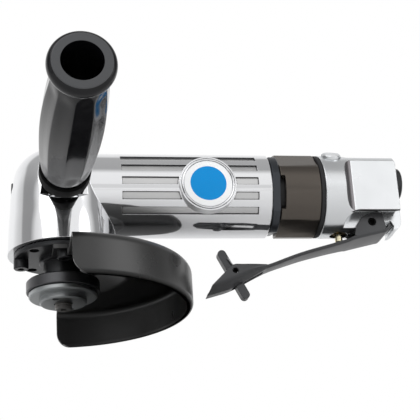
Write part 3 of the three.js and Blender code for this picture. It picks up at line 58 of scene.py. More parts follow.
barrel_side = (ring_low.y + ring_high.y) / 2
spindle_low, spindle_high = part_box("inner_flange")
spindle_station = (spindle_low.x + spindle_high.x) / 2
ORIGIN = Vector((spindle_station, barrel_side, barrel_height))
TO_FRAME = Matrix.Translation(ORIGIN) @ Matrix.Scale(MM, 4)

# Shared sizes, in millimetres. Tools reach past what they cut by the overrun, and faces are
# told apart by the slack
GAP = 0.3
OVERRUN = 3.0
SLACK = 0.1
BARREL_RADIUS = 24.0
BARREL_CLEAR = BARREL_RADIUS + OVERRUN
BARREL_REAR = 116.5
HEAD_RADIUS = 29.8
HEAD_TOP = 24.3
HEAD_DEPTH = 35.2
GUARD_RADIUS = 70.5
GUARD_RIM = 68.6
HANDLE_END = 161.5
VALVE_REAR = 191.0
SPIGOT_RADIUS = 19.3
MOTOR_BORE = 19.6
SCREW_CIRCLE = 22.5
SCREW_HOLE = 2.2
QUARTERS = (0, 90, 180, 270)
BARREL_SIDES = 192

# Camera of the photograph: fitted position, distance and roll
PHOTO_PIXELS = 420
FOCAL_PIXELS = 1300
SENSOR_WIDTH = 36.0
CAMERA_AZIMUTH = radians(-10.9)
CAMERA_ELEVATION = radians(-21.2)
CAMERA_ROLL = radians(-3.87)
CAMERA_DISTANCE = 740.0
CAMERA_TARGET = Vector((84.3, 0.0, -8.03))
CAMERA_CLIP = (0.01, 50.0)


def add_camera():
    azimuth, elevation = CAMERA_AZIMUTH, CAMERA_ELEVATION
    back = Vector((
        sin(azimuth) * cos(elevation),
        -cos(azimuth) * cos(elevation),
        sin(elevation),
    ))
    level = Vector((cos(azimuth), sin(azimuth), 0.0))
    upright = back.cross(level)
    right = level * cos(CAMERA_ROLL) + upright * sin(CAMERA_ROLL)
    up = upright * cos(CAMERA_ROLL) - level * sin(CAMERA_ROLL)
    data = bpy.data.cameras.new("photo_camera")
    data.sensor_width = SENSOR_WIDTH
    data.lens = FOCAL_PIXELS / PHOTO_PIXELS * SENSOR_WIDTH
    data.clip_start, data.clip_end = CAMERA_CLIP
    camera = bpy.data.objects.new("photo_camera", data)
    turn = Matrix((right, up, back)).transposed().to_4x4()
    place = TO_FRAME @ (CAMERA_TARGET + back * CAMERA_DISTANCE)
    camera.matrix_world = Matrix.Translation(place) @ turn
    bpy.context.scene.collection.objects.link(camera)
    bpy.context.scene.camera = camera


add_camera()


# Mesh helpers
AXES = {
    "+X": lambda u, v, s: (s, u, v),
    "-X": lambda u, v, s: (-s, u, v),
    "+Y": lambda u, v, s: (u, s, v),
    "-Y": lambda u, v, s: (u, -s, v),
    "+Z": lambda u, v, s: (u, v, s),
}


def make(verts, faces, name="piece"):
    mesh = bpy.data.meshes.new(name)
    mesh.from_pydata(verts, [], faces)
    work = bmesh.new()
    work.from_mesh(mesh)
    bmesh.ops.recalc_face_normals(work, faces=work.faces)
    work.to_mesh(mesh)
    work.free()
    obj = bpy.data.objects.new(name, mesh)
    bpy.context.scene.collection.objects.link(obj)
    return obj


def revolve(outline, axis, segments=96):
    """Closed solid of revolution from (radius, station) pairs."""
    place = AXES[axis]
    verts, rings = [], []
    for radius, station in outline:
        start = len(verts)
        count = 1 if radius == 0 else segments
        for i in range(count):
            angle = 2 * pi * i / segments
            verts.append(place(radius * cos(angle), radius * sin(angle), station))
        rings.append([start + i % count for i in range(segments)])
    on_axis = outline[0][0] == 0 and outline[-1][0] == 0
    pairs = list(zip(rings, rings[1:])) + ([] if on_axis else [(rings[-1], rings[0])])
    faces = []
    for low, high in pairs:
        for i in range(segments):
            j = (i + 1) % segments
            corners = [low[i], low[j], high[j], high[i]]
            face = list(dict.fromkeys(corners))
            if len(face) > 2:
                faces.append(face)
    return make(verts, faces)


def rod(radius, start, end, axis, segments=64):
    return revolve([(0, start), (radius, start), (radius, end), (0, end)], axis, segments)


def prism(outline, axis, start, end):
    """Extrusion: outline in (y, z) along X, in (x, z) along Y, in (x, y) along Z."""
    place = AXES[axis]
    count = len(outline)
    verts = [place(u, v, s) for s in (start, end) for u, v in outline]
    faces = [list(range(count)), list(range(count, 2 * count))]
    faces += [[i, (i + 1) % count, count + (i + 1) % count, count + i] for i in range(count)]
    return make(verts, faces)


def block(low, high):
    outline = [(low[0], low[1]), (high[0], low[1]), (high[0], high[1]), (low[0], high[1])]
    return prism(outline, "+Z", low[2], high[2])


def loft(rings):
    """Skin over rings of as many points, with a flat end on each side."""
    count = len(rings[0])
    verts = [point for points in rings for point in points]
    starts = [k * count for k in range(len(rings))]
    faces = []
    for low, high in zip(starts, starts[1:]):
        for i in range(count):
            j = (i + 1) % count
            faces.append([low + i, low + j, high + j, high + i])
    faces += [[start + i for i in range(count)] for start in (starts[0], starts[-1])]
    return make(verts, faces)


def moved(obj, x=0.0, y=0.0, z=0.0):
    obj.data.transform(Matrix.Translation((x, y, z)))
    return obj


def turned(obj, degrees, axis):
    obj.data.transform(Matrix.Rotation(radians(degrees), 4, axis))
    return obj


def turned_up(obj, degrees):
    """Turns a piece made for the near side upwards round the barrel axis."""
    return turned(obj, -degrees, "X")


def mirrored(obj):
    obj.data.transform(Matrix.Scale(-1, 4, (0, 1, 0)))
    obj.data.flip_normals()
    return obj


def both_sides(draw, *sizes):
    return [draw(*sizes), mirrored(draw(*sizes))]


def combine(base, tools, operation):
    for tool in tools:
        step = base.modifiers.new("step", "BOOLEAN")
        step.operation = operation
        step.solver = "MANIFOLD"
        step.object = tool
    bpy.context.view_layer.update()
    graph = bpy.context.evaluated_depsgraph_get()
    result = bpy.data.meshes.new_from_object(base.evaluated_get(graph))
    base.modifiers.clear()
    base.data = result
    for tool in tools:
        bpy.data.objects.remove(tool)
    return base


def cut(base, *tools):
    return combine(base, tools, "DIFFERENCE")


def join(base, *others):
    return combine(base, others, "UNION")


def common(base, other):
    return combine(base, [other], "INTERSECT")


def arc_points(u, v, radius, start, end, steps):
    angles = [radians(start + (end - start) * i / steps) for i in range(steps + 1)]
    return [(u + radius * cos(a), v + radius * sin(a)) for a in angles]


def smooth_path(points, per_span=6):
    """Catmull-Rom curve through the points, ends held."""
    path = [Vector(points[0])] + [Vector(p) for p in points] + [Vector(points[-1])]
    out = []
    for k in range(1, len(path) - 2):
        a, b, c, d = path[k - 1:k + 3]
        for i in range(per_span):
            t = i / per_span
            out.append(0.5 * (
                2 * b + (c - a) * t + (2 * a - 5 * b + 4 * c - d) * t ** 2
                + (3 * b - a - 3 * c + d) * t ** 3
            ))
    out.append(path[-1])
    return [tuple(p) for p in out]


def offset_path(path, distance):
    out = []
    for i, point in enumerate(path):
        here = Vector(point)
        into = here - Vector(path[i - 1]) if i else Vector(path[1]) - here
        last = i == len(path) - 1
        away = into if last else Vector(path[i + 1]) - here
        normals = [Vector((-run.y, run.x)).normalized() for run in (into, away)]
        mitre = (normals[0] + normals[1]).normalized()
        out.append(tuple(here + mitre * (distance / mitre.dot(normals[1]))))
    return out


def strip(path, thickness):
    return list(path) + offset_path(path, thickness)[::-1]


def barrel_sector(inner, outer, half_angle, start, end):
    """Band between two radii about the near direction, along the barrel."""
    far = arc_points(0, 0, outer, 180 - half_angle, 180 + half_angle, 12)
    near = arc_points(0, 0, inner, 180 + half_angle, 180 - half_angle, 12)
    return prism(far + near, "+X", start, end)


SHARP_ANGLE = radians(28)
MERGE_DISTANCE = 1e-5


def soften(obj):
    """Smooth shading with crisp edges where faces meet at an angle."""
    work = bmesh.new()
    work.from_mesh(obj.data)
    bmesh.ops.remove_doubles(work, verts=work.verts, dist=MERGE_DISTANCE)
    bmesh.ops.recalc_face_normals(work, faces=work.faces)
    for face in work.faces:
        face.smooth = True
    for edge in work.edges:
        edge.smooth = len(edge.link_faces) == 2 and edge.calc_face_angle(0) < SHARP_ANGLE
    work.to_mesh(obj.data)
    work.free()


def placed_faces(obj):
    """Each face of a dressed piece, and its centre in the millimetres of the drawing."""
    back = TO_FRAME.inverted()
    return [(face, back @ face.center) for face in obj.data.polygons]


def dress(obj, name, materials, replaced, body="casing"):
    """Sets a finished piece into the frame and says what it is."""
    obj.name = name
    obj.data.name = name
    soften(obj)
    obj.data.transform(TO_FRAME)
    obj.data.materials.clear()
    for material in materials if isinstance(materials, list) else [materials]:
        obj.data.materials.append(material)
    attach(obj, body)
    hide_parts(*replaced)
    return obj


# Materials
# Painted shade in inner corners: occlusion range and the darkest share of the colour
CORNER_SHADE_START = 0.55
CORNER_SHADE_END = 0.85
CORNER_SHADE_DARKEST = 0.12
COAT_ROUGHNESS = 0.08
SMOOTHEST = 0.02
GRAIN_HEIGHT = 0.1


def fill(tree, node, inputs):
    """Sets inputs of a node: a number or colour, or the output of another node."""
    for key, value in inputs.items():
        if isinstance(value, bpy.types.NodeSocket):
            tree.links.new(value, node.inputs[key])
        else:
            node.inputs[key].default_value = value


def add_node(tree, kind, inputs=None, **settings):
    node = tree.nodes.new("ShaderNode" + kind)
    for name, value in settings.items():
        setattr(node, name, value)
    fill(tree, node, inputs or {})
    return node


def paint_corner_shade(tree, colour, reach):
    """Painted shade that darkens the colour within a small reach of inner corners."""
    hollow = add_node(tree, "AmbientOcclusion", {"Distance": reach * MM}, samples=8)
    corner_shade = add_node(tree, "MapRange", {
        "Value": hollow.outputs["AO"], "From Min": CORNER_SHADE_START, "From Max": CORNER_SHADE_END,
        "To Min": CORNER_SHADE_DARKEST,
    })
    mix = add_node(tree, "Mix", data_type="RGBA", blend_type="MULTIPLY")
    fill(tree, mix, {0: 1.0, 6: colour, 7: corner_shade.outputs["Result"]})
    return mix.outputs[2]


def surface(name, colour, roughness, metallic=0.0, edge=0.3, grain=0.1, grain_scale=900.0,
            spread=0.05, spread_scale=60.0, tint=0.06, coat=0.0, stretch=(1, 1, 1), specular=0.5,
            shade_reach=0.0):
    """Principled surface: rounded edges, uneven roughness and colour, a fine grain, and optional
    painted shade in inner corners.
    """
    material = bpy.data.materials.new(name)
    material.use_nodes = True
    tree = material.node_tree
    place = add_node(tree, "TexCoord").outputs["Object"]
    scaled = add_node(tree, "Mapping", {"Vector": place, "Scale": stretch}).outputs["Vector"]
    broad = add_node(tree, "TexNoise", {"Vector": scaled, "Scale": spread_scale, "Detail": 4})
    rough = add_node(tree, "MapRange", {
        "Value": broad.outputs["Fac"], "To Min": max(roughness - spread, SMOOTHEST),
        "To Max": roughness + spread,
    })
    mix = add_node(tree, "Mix", data_type="RGBA")
    fill(tree, mix, {0: broad.outputs["Fac"], 6: (*[c * (1 - tint) for c in colour], 1),
                     7: (*[min(c * (1 + tint), 1) for c in colour], 1)})
    colour_out = mix.outputs[2]
    # Painted shade: the colour darkens near inner corners
    if shade_reach:
        colour_out = paint_corner_shade(tree, colour_out, shade_reach)
    normal = add_node(tree, "Bevel", {"Radius": edge * MM}, samples=4).outputs["Normal"]
    if grain:
        fine = add_node(tree, "TexNoise", {"Vector": scaled, "Scale": grain_scale, "Detail": 3})
        bump = add_node(tree, "Bump", {"Height": fine.outputs["Fac"], "Normal": normal,
                                       "Strength": grain, "Distance": GRAIN_HEIGHT * MM})
        normal = bump.outputs["Normal"]
    fill(tree, tree.nodes["Principled BSDF"], {
        "Base Color": colour_out, "Metallic": metallic, "Roughness": rough.outputs["Result"],
        "Specular IOR Level": specular, "Coat Weight": coat, "Coat Roughness": COAT_ROUGHNESS,
        "Normal": normal,
    })
    return material


polished = surface("polished_aluminium", (0.84, 0.845, 0.86), 0.07, 1.0, edge=0.5, spread=0.02,
                   grain=0.09, grain_scale=90, spread_scale=35, tint=0.02)
# The recess floors take painted shade along their walls
satin_floor = surface("satin_recess", (0.60, 0.60, 0.60), 0.36, 1.0, edge=0.1, grain=0.2, tint=0.05,
                      shade_reach=0.9)
satin_wall = surface("satin_wall", (0.86, 0.86, 0.87), 0.5, 0.6, tint=0.03)
# Recess walls painted near black as the shade that falls in the grip recesses
recess_wall_painted_shade = surface("recess_wall_painted_shade", (0.10, 0.10, 0.105), 0.4, 0.8, edge=0.1, tint=0.1)
# Near black for the spigot and valve bore, and painted shade on the pocket roofs and ledges
black_passage_and_shade = surface("black_passage_and_painted_shade", (0.012, 0.012, 0.013), 0.5, edge=0.2, grain=0.2, tint=0.2)
cast_alloy = surface("cast_alloy", (0.76, 0.775, 0.79), 0.26, 1.0, edge=0.6, grain_scale=500)
# Darker copy of the cast alloy: a painted dark reflection on the concave run-outs
alloy_painted_dark_reflection = surface("alloy_painted_dark_reflection", (0.17, 0.162, 0.168), 0.24, 1.0, edge=0.4, grain_scale=500)
spindle_steel = surface("spindle_steel", (0.26, 0.25, 0.24), 0.34, 0.9, tint=0.12)
machined_ring = surface("machined_ring", (0.78, 0.79, 0.80), 0.2, 1.0)
black_coat = surface("black_coating", (0.012, 0.012, 0.012), 0.30, edge=0.6, grain=0.25,
                     grain_scale=420, spread=0.1, spread_scale=30, tint=0.25, specular=0.75)
black_steel = surface("black_steel", (0.035, 0.036, 0.038), 0.3, 0.75, edge=0.4, grain=0.15, tint=0.15)
dark_flange = surface("dark_flange", (0.10, 0.10, 0.105), 0.32, 0.9, edge=0.4, tint=0.12)
nut_steel = surface("nut_steel", (0.40, 0.415, 0.42), 0.34, 0.95, edge=0.4, tint=0.1)
slate_metal = surface("slate_metal", (0.055, 0.06, 0.068), 0.32, 0.85, edge=0.4, grain=0.12, tint=0.15)
sleeve_metal = surface("sleeve_metal", (0.105, 0.092, 0.080), 0.24, 0.9, edge=0.4, grain=0.08,
                       tint=0.15, stretch=(0.3, 3, 3))
gasket_rubber = surface("gasket_rubber", (0.012, 0.012, 0.013), 0.75, edge=0.2, grain=0.3, tint=0.2)
lever_paint = surface("lever_paint", (0.062, 0.063, 0.066), 0.33, 0.5, edge=0.5, grain=0.22,
                      grain_scale=600, tint=0.15, spread=0.08)
gloss_black = surface("gloss_black", (0.004, 0.004, 0.005), 0.12, spread=0.03, grain=0.03,
                      grain_scale=200, tint=0.2, specular=0.3)
satin_black = surface("satin_black", (0.003, 0.003, 0.003), 0.55, tint=0.2, specular=0.06)
grip_end = surface("grip_end", (0.05, 0.052, 0.056), 0.42, edge=0.4, grain=0.3, grain_scale=700)
bright_steel = surface("bright_steel", (0.6, 0.61, 0.62), 0.24, 1.0, edge=0.25, grain=0.08)
gear_steel = surface("gear_steel", (0.38, 0.39, 0.4), 0.3, 1.0, edge=0.2, grain=0.08)
brass = surface("machined_brass", (0.70, 0.52, 0.2), 0.28, 1.0, edge=0.2, grain=0.08)
pale_brass = surface("pale_brass", (0.85, 0.78, 0.55), 0.25, 1.0, edge=0.2, grain=0.05)
dull_brass = surface("dull_brass", (0.16, 0.11, 0.05), 0.45, 0.9, edge=0.2, tint=0.2)
vane_resin = surface("vane_resin", (0.14, 0.06, 0.03), 0.6, edge=0.1, grain=0.4)
white_enamel = surface("white_enamel", (0.93, 0.94, 0.95), 0.22, edge=0.2, grain=0, spread=0.02,
                       tint=0.01, coat=0.4)
blue_enamel = surface("blue_enamel", (0.0, 0.27, 0.68), 0.24, edge=0.2, grain=0, spread=0.02,
                      tint=0.05, specular=0.2)


# Cast housing: head, barrel, bosses, grip recesses and badge seat
HEAD_SHOULDER = 0.933
HEAD_SHARES = [
    (1, -1), (0.983, -0.625), (0.96, -0.341), (HEAD_SHOULDER, 0), (0.889, 0.329),
    (0.832, 0.576), (0.721, 0.782), (0.57, 0.926), (0.369, 0.988), (0, 1),
]
HEAD_SIDES = 160
CAVITY_RADIUS = 18.5
CAVITY_TOP = 11.3
CAP_HOLE_TOP = -24.5
FLAT_OFFSET = 25.3
FLAT_BOTTOM = 9.0
RECESS_FRONT = 32.0
RECESS_REAR = 108.5
RECESS_DEPTH = 0.9
RECESS_HALF_ANGLE = 5.25
RECESS_PITCH = 20.5
RECESS_MIDDLE = 0.3
RECESS_ROWS = range(-2, 3)
RECESS_MARGIN = 0.6
BADGE_STATION = 79.5
BADGE_DROP = 2.3
BADGE_BOSS_RADIUS = 15.9
BADGE_BOSS_FACE = 25.6
BADGE_BOSS_ROOT = 0.8 * SPIGOT_RADIUS
BADGE_SIDES = 128
BADGE_SEAT = BADGE_BOSS_FACE - 1.2
BADGE_RADIUS = 14.8
BADGE_BEZEL = 1.0
BOSS_END = 31.2
BOSS_RADIUS = 8.0
BOSS_ROOT = 9.8
BOSS_TAPER = 2.2
STUD_RADIUS = 4.9
HOLE_DEPTH = 7.0
PLUG_HEIGHT = 3.0
PLUG_RADIUS = 4.4
PLUG_FACE = HEAD_RADIUS * HEAD_SHOULDER - GAP
MOTOR_FRONT = 30.0
# Bores in the head: radius, start and end
UPPER_SEAT = (11.3, 0, 18.8)
PINION_SPACE = (11.0, 10.6, 19.5)
SHAFT_SPACE = (6.5, 16.0, MOTOR_FRONT + 1)
MOTOR_SEAT = (11.3, 26.0, MOTOR_FRONT + 1)


def head():
    scaled = [(r * HEAD_RADIUS, h * (HEAD_DEPTH if h < 0 else HEAD_TOP)) for r, h in HEAD_SHARES]
    outline = [(max(r, 0.0), h) for r, h in smooth_path(scaled, 5)]
    outline[-1] = (0, HEAD_TOP)
    return revolve([(0, -HEAD_DEPTH)] + outline, "+Z", HEAD_SIDES)


def barrel():
    rear, chamfer = BARREL_REAR, 0.6
    outline = [(0, 0), (BARREL_RADIUS, 0), (BARREL_RADIUS, rear - chamfer),
               (BARREL_RADIUS - chamfer, rear), (0, rear)]
    return revolve(outline, "+X", BARREL_SIDES)


def handle_boss(axis):
    root = CAVITY_RADIUS - OVERRUN
    taper = FLAT_OFFSET + BOSS_TAPER
    outline = [(0, root), (BOSS_ROOT, root), (BOSS_ROOT, FLAT_OFFSET),
               (BOSS_RADIUS + 0.5, taper - 0.8), (BOSS_RADIUS, taper), (BOSS_RADIUS, BOSS_END),
               (0, BOSS_END)]
    return revolve(outline, axis, 80)


def side_flat():
    outer = HEAD_RADIUS + OVERRUN
    outline = [(-FLAT_OFFSET, -FLAT_BOTTOM), (-FLAT_OFFSET, HEAD_TOP + OVERRUN),
               (-outer, HEAD_TOP + OVERRUN), (-outer, FLAT_OFFSET - FLAT_BOTTOM - outer)]
    return prism(outline, "+X", -HEAD_RADIUS, HEAD_RADIUS)


def recess_tool(row, badged):
    """Cutter of one grip recess; beside the badge it stops short of the boss."""
    inner, outer = BARREL_RADIUS - RECESS_DEPTH, BARREL_CLEAR
    band = turned_up(barrel_sector(inner, outer, RECESS_HALF_ANGLE, RECESS_FRONT, RECESS_REAR),
                     RECESS_MIDDLE + row * RECESS_PITCH)
    if not badged or abs(row) > 1:
        return band
    kept = rod(BADGE_BOSS_RADIUS + RECESS_MARGIN, 0, BARREL_RADIUS + 2 * OVERRUN, "-Y", BADGE_SIDES)
    return cut(band, on_badge(kept))


def on_badge(obj):
    return moved(obj, BADGE_STATION, 0, -BADGE_DROP)


def screw_tools(low, high, radius, angles):
    return [turned(moved(rod(radius, low, high, "+Z", 32), SCREW_CIRCLE), a, "Z") for a in angles]


def housing():
    grooves = [recess_tool(row, True) for row in RECESS_ROWS]
    grooves += [mirrored(recess_tool(row, False)) for row in RECESS_ROWS]
    grooved = cut(barrel(), *grooves)
    body = cut(head(), *both_sides(side_flat))
    boss = on_badge(rod(BADGE_BOSS_RADIUS, MOTOR_BORE, BADGE_BOSS_FACE, "-Y", BADGE_SIDES))
    body = join(body, grooved, handle_boss("-Y"), handle_boss("+Y"), boss)
    stud_hole = STUD_RADIUS + GAP
    bores = [
        rod(MOTOR_BORE, MOTOR_FRONT, BARREL_REAR + OVERRUN, "+X", 96),
        rod(CAVITY_RADIUS, -HEAD_DEPTH - OVERRUN, CAVITY_TOP, "+Z", 96),
        rod(*UPPER_SEAT, "+Z"),
        rod(*PINION_SPACE, "+X"),
        rod(*SHAFT_SPACE, "+X", 48),
        rod(*MOTOR_SEAT, "+X"),
        *[rod(stud_hole, BOSS_END - HOLE_DEPTH, BOSS_END + OVERRUN, axis) for axis in ("-Y", "+Y")],
        on_badge(rod(BADGE_RADIUS + GAP, BADGE_SEAT, BADGE_BOSS_FACE + OVERRUN, "-Y", BADGE_SIDES)),
        moved(rod(PLUG_RADIUS + GAP, PLUG_FACE - HOLE_DEPTH - GAP, HEAD_RADIUS, "-X", 48),
              z=PLUG_HEIGHT),
    ]
    bores += screw_tools(-HEAD_DEPTH - OVERRUN, CAP_HOLE_TOP, SCREW_HOLE, QUARTERS)
    return cut(body, *bores)


def mark_housing(obj):
    """Floors of the grip recesses, machined rim of the head, recess walls painted dark as shade, and
    badge boss wall.
    """
    floor = BARREL_RADIUS - RECESS_DEPTH
    for face, (x, y, z) in placed_faces(obj):
        reach = hypot(y, z)
        in_rows = RECESS_FRONT - SLACK < x < RECESS_REAR + SLACK
        from_badge = hypot(x - BADGE_STATION, z + BADGE_DROP)
        boss_wall = abs(from_badge - BADGE_BOSS_RADIUS) < SLACK and abs(face.normal.y) < 0.1
        # Index 3 gives the recess walls their painted shade
        if in_rows and floor - 3 * SLACK < reach < BARREL_RADIUS - SLACK:
            face.material_index = 1 if reach < floor + SLACK else 3
        elif z < -HEAD_DEPTH + SLACK / 2 and hypot(x, y) < HEAD_RADIUS:
            face.material_index = 2
        elif boss_wall and y < -BADGE_BOSS_ROOT:
            face.material_index = 4


shell = dress(housing(), "housing_shell",
              [polished, satin_floor, machined_ring, recess_wall_painted_shade, satin_wall], ["housing"])
mark_housing(shell)


# Badge: domed enamel disc with a plain centre, in a polished bezel
def badge_disc():
    radius = BADGE_RADIUS - BADGE_BEZEL - GAP
    base = BADGE_SEAT + GAP
    rim, crown, steps = base + 0.9, 1.0, 24
    shares = [1 - i / steps for i in range(steps)]
    dome = [(radius * share, rim + crown * (1 - share ** 2)) for share in shares]
    outline = [(0, base), (radius, base)] + dome + [(0, rim + crown)]
    return on_badge(revolve(outline, "-Y", BADGE_SIDES))


def badge_bezel():
    base = BADGE_SEAT + GAP
    inner = BADGE_RADIUS - BADGE_BEZEL
    crown = arc_points(inner + BADGE_BEZEL / 2, BADGE_BOSS_FACE, BADGE_BEZEL / 2, 0, 180, 10)
    return on_badge(revolve([(inner, base), (BADGE_RADIUS, base)] + crown, "-Y", BADGE_SIDES))


BADGE_CENTRE_RADIUS = 10.4
disc = dress(badge_disc(), "badge_enamel", [white_enamel, blue_enamel],
             ["badge_plate"])
for face, centre in placed_faces(disc):
    reach = hypot(centre.x - BADGE_STATION, centre.z + BADGE_DROP)
    face.material_index = int(reach < BADGE_CENTRE_RADIUS)
dress(badge_bezel(), "badge_rim", polished, ["badge_bezel"])


# Rings behind the barrel
LOCK_FRONT = BARREL_REAR + GAP
LOCK_REAR = LOCK_FRONT + 4.4
SLEEVE_FRONT = LOCK_REAR + GAP
SLEEVE_REAR = SLEEVE_FRONT + 22.9
GASKET_FRONT = SLEEVE_REAR + GAP
GASKET_REAR = GASKET_FRONT + 2.1
SHOULDER = GASKET_REAR + GAP
LOCK_ANGLE = -14.3
LOCK_FLAT = 21.5
SLEEVE_ANGLE = 45.5
SLEEVE_FLAT = 22.4
SLOT_HALF_ANGLE = 23.5
SLOT_LENGTH = 2.5
EDGE = 0.4
GASKET_EDGE = 0.2


def ring(inner, outer, start, end, edge=EDGE):
    outline = [(inner, start), (outer - edge, start), (outer, start + edge),
               (outer, end - edge), (outer - edge, end), (inner, end)]
    return revolve(outline, "+X", BARREL_SIDES)


def facet(offset, angle, start, end):
    wide = BARREL_RADIUS
    low = (start - OVERRUN, -wide - OVERRUN, -wide)
    return turned_up(block(low, (end + OVERRUN, -offset, wide)), angle)


lock = cut(ring(MOTOR_BORE, BARREL_RADIUS, LOCK_FRONT, LOCK_REAR),
           *[facet(LOCK_FLAT, LOCK_ANGLE + 90 * i, LOCK_FRONT, LOCK_REAR) for i in range(4)])
dress(lock, "lock_ring_body", slate_metal, ["lock_ring"])
slots = [turned_up(barrel_sector(MOTOR_BORE - OVERRUN, BARREL_CLEAR, SLOT_HALF_ANGLE,
                                 SLEEVE_FRONT - OVERRUN, SLEEVE_FRONT + SLOT_LENGTH),
                   LOCK_ANGLE + 120 * i) for i in range(3)]
sleeve = cut(ring(MOTOR_BORE, BARREL_RADIUS, SLEEVE_FRONT, SLEEVE_REAR),
             *[facet(SLEEVE_FLAT, SLEEVE_ANGLE + 120 * i, SLEEVE_FRONT, SLEEVE_REAR) for i in range(3)],
             *slots)
dress(sleeve, "exhaust_sleeve_body", sleeve_metal, ["exhaust_sleeve"])
gasket = ring(MOTOR_BORE, BARREL_RADIUS - GASKET_EDGE, GASKET_FRONT, GASKET_REAR, GASKET_EDGE)
dress(gasket, "gasket_body", gasket_rubber, ["rear_gasket"])

# Valve housing: round body, square block with a hollow run-out, ear pockets and tongue
SPIGOT_FRONT = 97.3
BLOCK_HALF = 18.3
BLOCK_TOP = 18.4
BLOCK_FRONT = 165.0
RUN_OUT = 6.0
RIM = 0.7
POCKET_TOP = 15.2
POCKET_RISE = 0.315
POCKET_FRONT = 159.0
POCKET_ROUNDING = 9.0
# The ledge is a small rabbet along the pocket edge; its face carries a painted shadow line
LEDGE_LINE = BLOCK_HALF - 0.6
LEDGE_HEIGHT = 0.6
TONGUE_HALF = 8.9
TONGUE_BOTTOM = 23.5
TONGUE_TOP = 9.0
TONGUE_REAR = VALVE_REAR + 2.7
TONGUE_ROUNDING = 5.0
TONGUE_FRONT = 163.5
NOTCH = [(178.8, -30), (178.8, -21), (187.4, -18), (189.2, -21), (187.4, -30)]
PIVOT_STATION = 175.7
PIVOT_DROP = 19.3
PIVOT_RADIUS = 2.1
INLET_HEIGHT = 7.8
INLET_BORE = 5.8
INLET_THREAD = 8.2
INLET_THREAD_FRONT = 178.3
INLET_THREAD_RELIEF = 1.6
INLET_COLLAR = 9.6
INLET_FLAT = 8.7
INLET_END = VALVE_REAR + GAP + 6.2
VALVE_STATION = 158.2
VALVE_BORE = 5.2
VALVE_BORE_TOP = 10.0
AIR_BORE = 5.5
# Exhaust chamber and air passage: radius, start and end
CHAMBER = (15.5, 94.0, 140.0)
PASSAGE = (3.6, 137.0, VALVE_STATION)
PASSAGE_DROP = 6.0
REGULATOR_STATION = 154.5
REGULATOR_ANGLE = 55.0
REGULATOR_RADIUS = 5.5
REGULATOR_FACE = 25.6
REGULATOR_SEAT = 21.0
REGULATOR_STEM = 3.0
REGULATOR_STEM_END = 13.6
DRIVER_WIDTH = 1.5
DRIVER_DEPTH = 1.6


def valve_body():
    outline = [
        (0, SPIGOT_FRONT), (SPIGOT_RADIUS, SPIGOT_FRONT), (SPIGOT_RADIUS, SHOULDER),
        (BARREL_RADIUS - EDGE, SHOULDER), (BARREL_RADIUS, SHOULDER + EDGE),
        (BARREL_RADIUS, VALVE_REAR - RIM), (BARREL_RADIUS - RIM, VALVE_REAR), (0, VALVE_REAR),
    ]
    return revolve(outline, "+X", BARREL_SIDES)


def block_face(offset):
    top = BARREL_CLEAR
    arc = arc_points(BLOCK_FRONT, offset + RUN_OUT, RUN_OUT, 180, 270, 14)
    rear = VALVE_REAR + OVERRUN
    outline = [(BLOCK_FRONT - RUN_OUT, top)] + arc + [(rear, offset), (rear, top)]
    return prism(outline, "+Y", -top, top)


def ear_pocket(inner, lift=0.0):
    """Pocket of the near ear; its roof rises towards the tongue."""
    low, past, front = -BARREL_CLEAR, VALVE_REAR + OVERRUN, POCKET_FRONT - lift
    centre = (front + POCKET_ROUNDING, lift - POCKET_TOP - POCKET_ROUNDING)
    arc = arc_points(*centre, POCKET_ROUNDING, 180, 90, 14)
    outline = [(front, low)] + arc + [(past, lift - POCKET_TOP), (past, low)]
    tool = prism(outline, "+Y", low, -inner)
    lean = Matrix.Identity(4)
    lean[2][1] = POCKET_RISE
    lean[2][3] = POCKET_RISE * BLOCK_HALF
    tool.data.transform(lean)
    return tool


def tongue_end():
    corner = (TONGUE_REAR - TONGUE_ROUNDING, TONGUE_ROUNDING - TONGUE_BOTTOM)
    arc = arc_points(*corner, TONGUE_ROUNDING, -90, 0, 14)
    front = NOTCH[3][0] - TONGUE_ROUNDING
    crown = [(TONGUE_REAR, -TONGUE_TOP - 0.6), (TONGUE_REAR - 0.6, -TONGUE_TOP)]
    outline = [(front, -TONGUE_TOP), (front, -TONGUE_BOTTOM)] + arc + crown
    return prism(outline, "+Y", -TONGUE_HALF, TONGUE_HALF)


def pin_hole(radius, segments=64):
    return rod(radius + GAP, -BARREL_RADIUS, BARREL_RADIUS, "+Y", segments)


def on_pivot(obj):
    return moved(obj, PIVOT_STATION, 0, -PIVOT_DROP)


def on_regulator(obj):
    return moved(turned_up(obj, REGULATOR_ANGLE), REGULATOR_STATION)


def valve_housing():
    wide, low = TONGUE_HALF + OVERRUN, -BARREL_CLEAR
    past = TONGUE_REAR + OVERRUN
    faces = [block_face(BLOCK_TOP), *[turned(block_face(BLOCK_HALF), a, "X") for a in (90, -90)]]
    pockets = both_sides(ear_pocket, TONGUE_HALF) + both_sides(ear_pocket, LEDGE_LINE, LEDGE_HEIGHT)
    body = join(cut(valve_body(), *faces, *pockets), tongue_end())
    tools = [
        block((TONGUE_FRONT, -wide, low), (past, wide, -TONGUE_BOTTOM)),
        prism(NOTCH, "+Y", -wide, wide),
        on_pivot(pin_hole(PIVOT_RADIUS)),
        rod(*CHAMBER, "+X"),
        moved(rod(VALVE_BORE, low, VALVE_BORE_TOP, "+Z"), VALVE_STATION),
        moved(rod(AIR_BORE, VALVE_STATION, past, "+X"), z=INLET_HEIGHT),
        moved(rod(INLET_THREAD + GAP, INLET_THREAD_FRONT - INLET_THREAD_RELIEF, past, "+X"),
              z=INLET_HEIGHT),
        moved(rod(*PASSAGE, "+X"), z=-PASSAGE_DROP),
        on_regulator(rod(REGULATOR_RADIUS + GAP, REGULATOR_SEAT - GAP, -low, "-Y")),
        on_regulator(rod(REGULATOR_STEM + GAP, REGULATOR_STEM_END - GAP, -low, "-Y")),
    ]
    return cut(body, *tools)


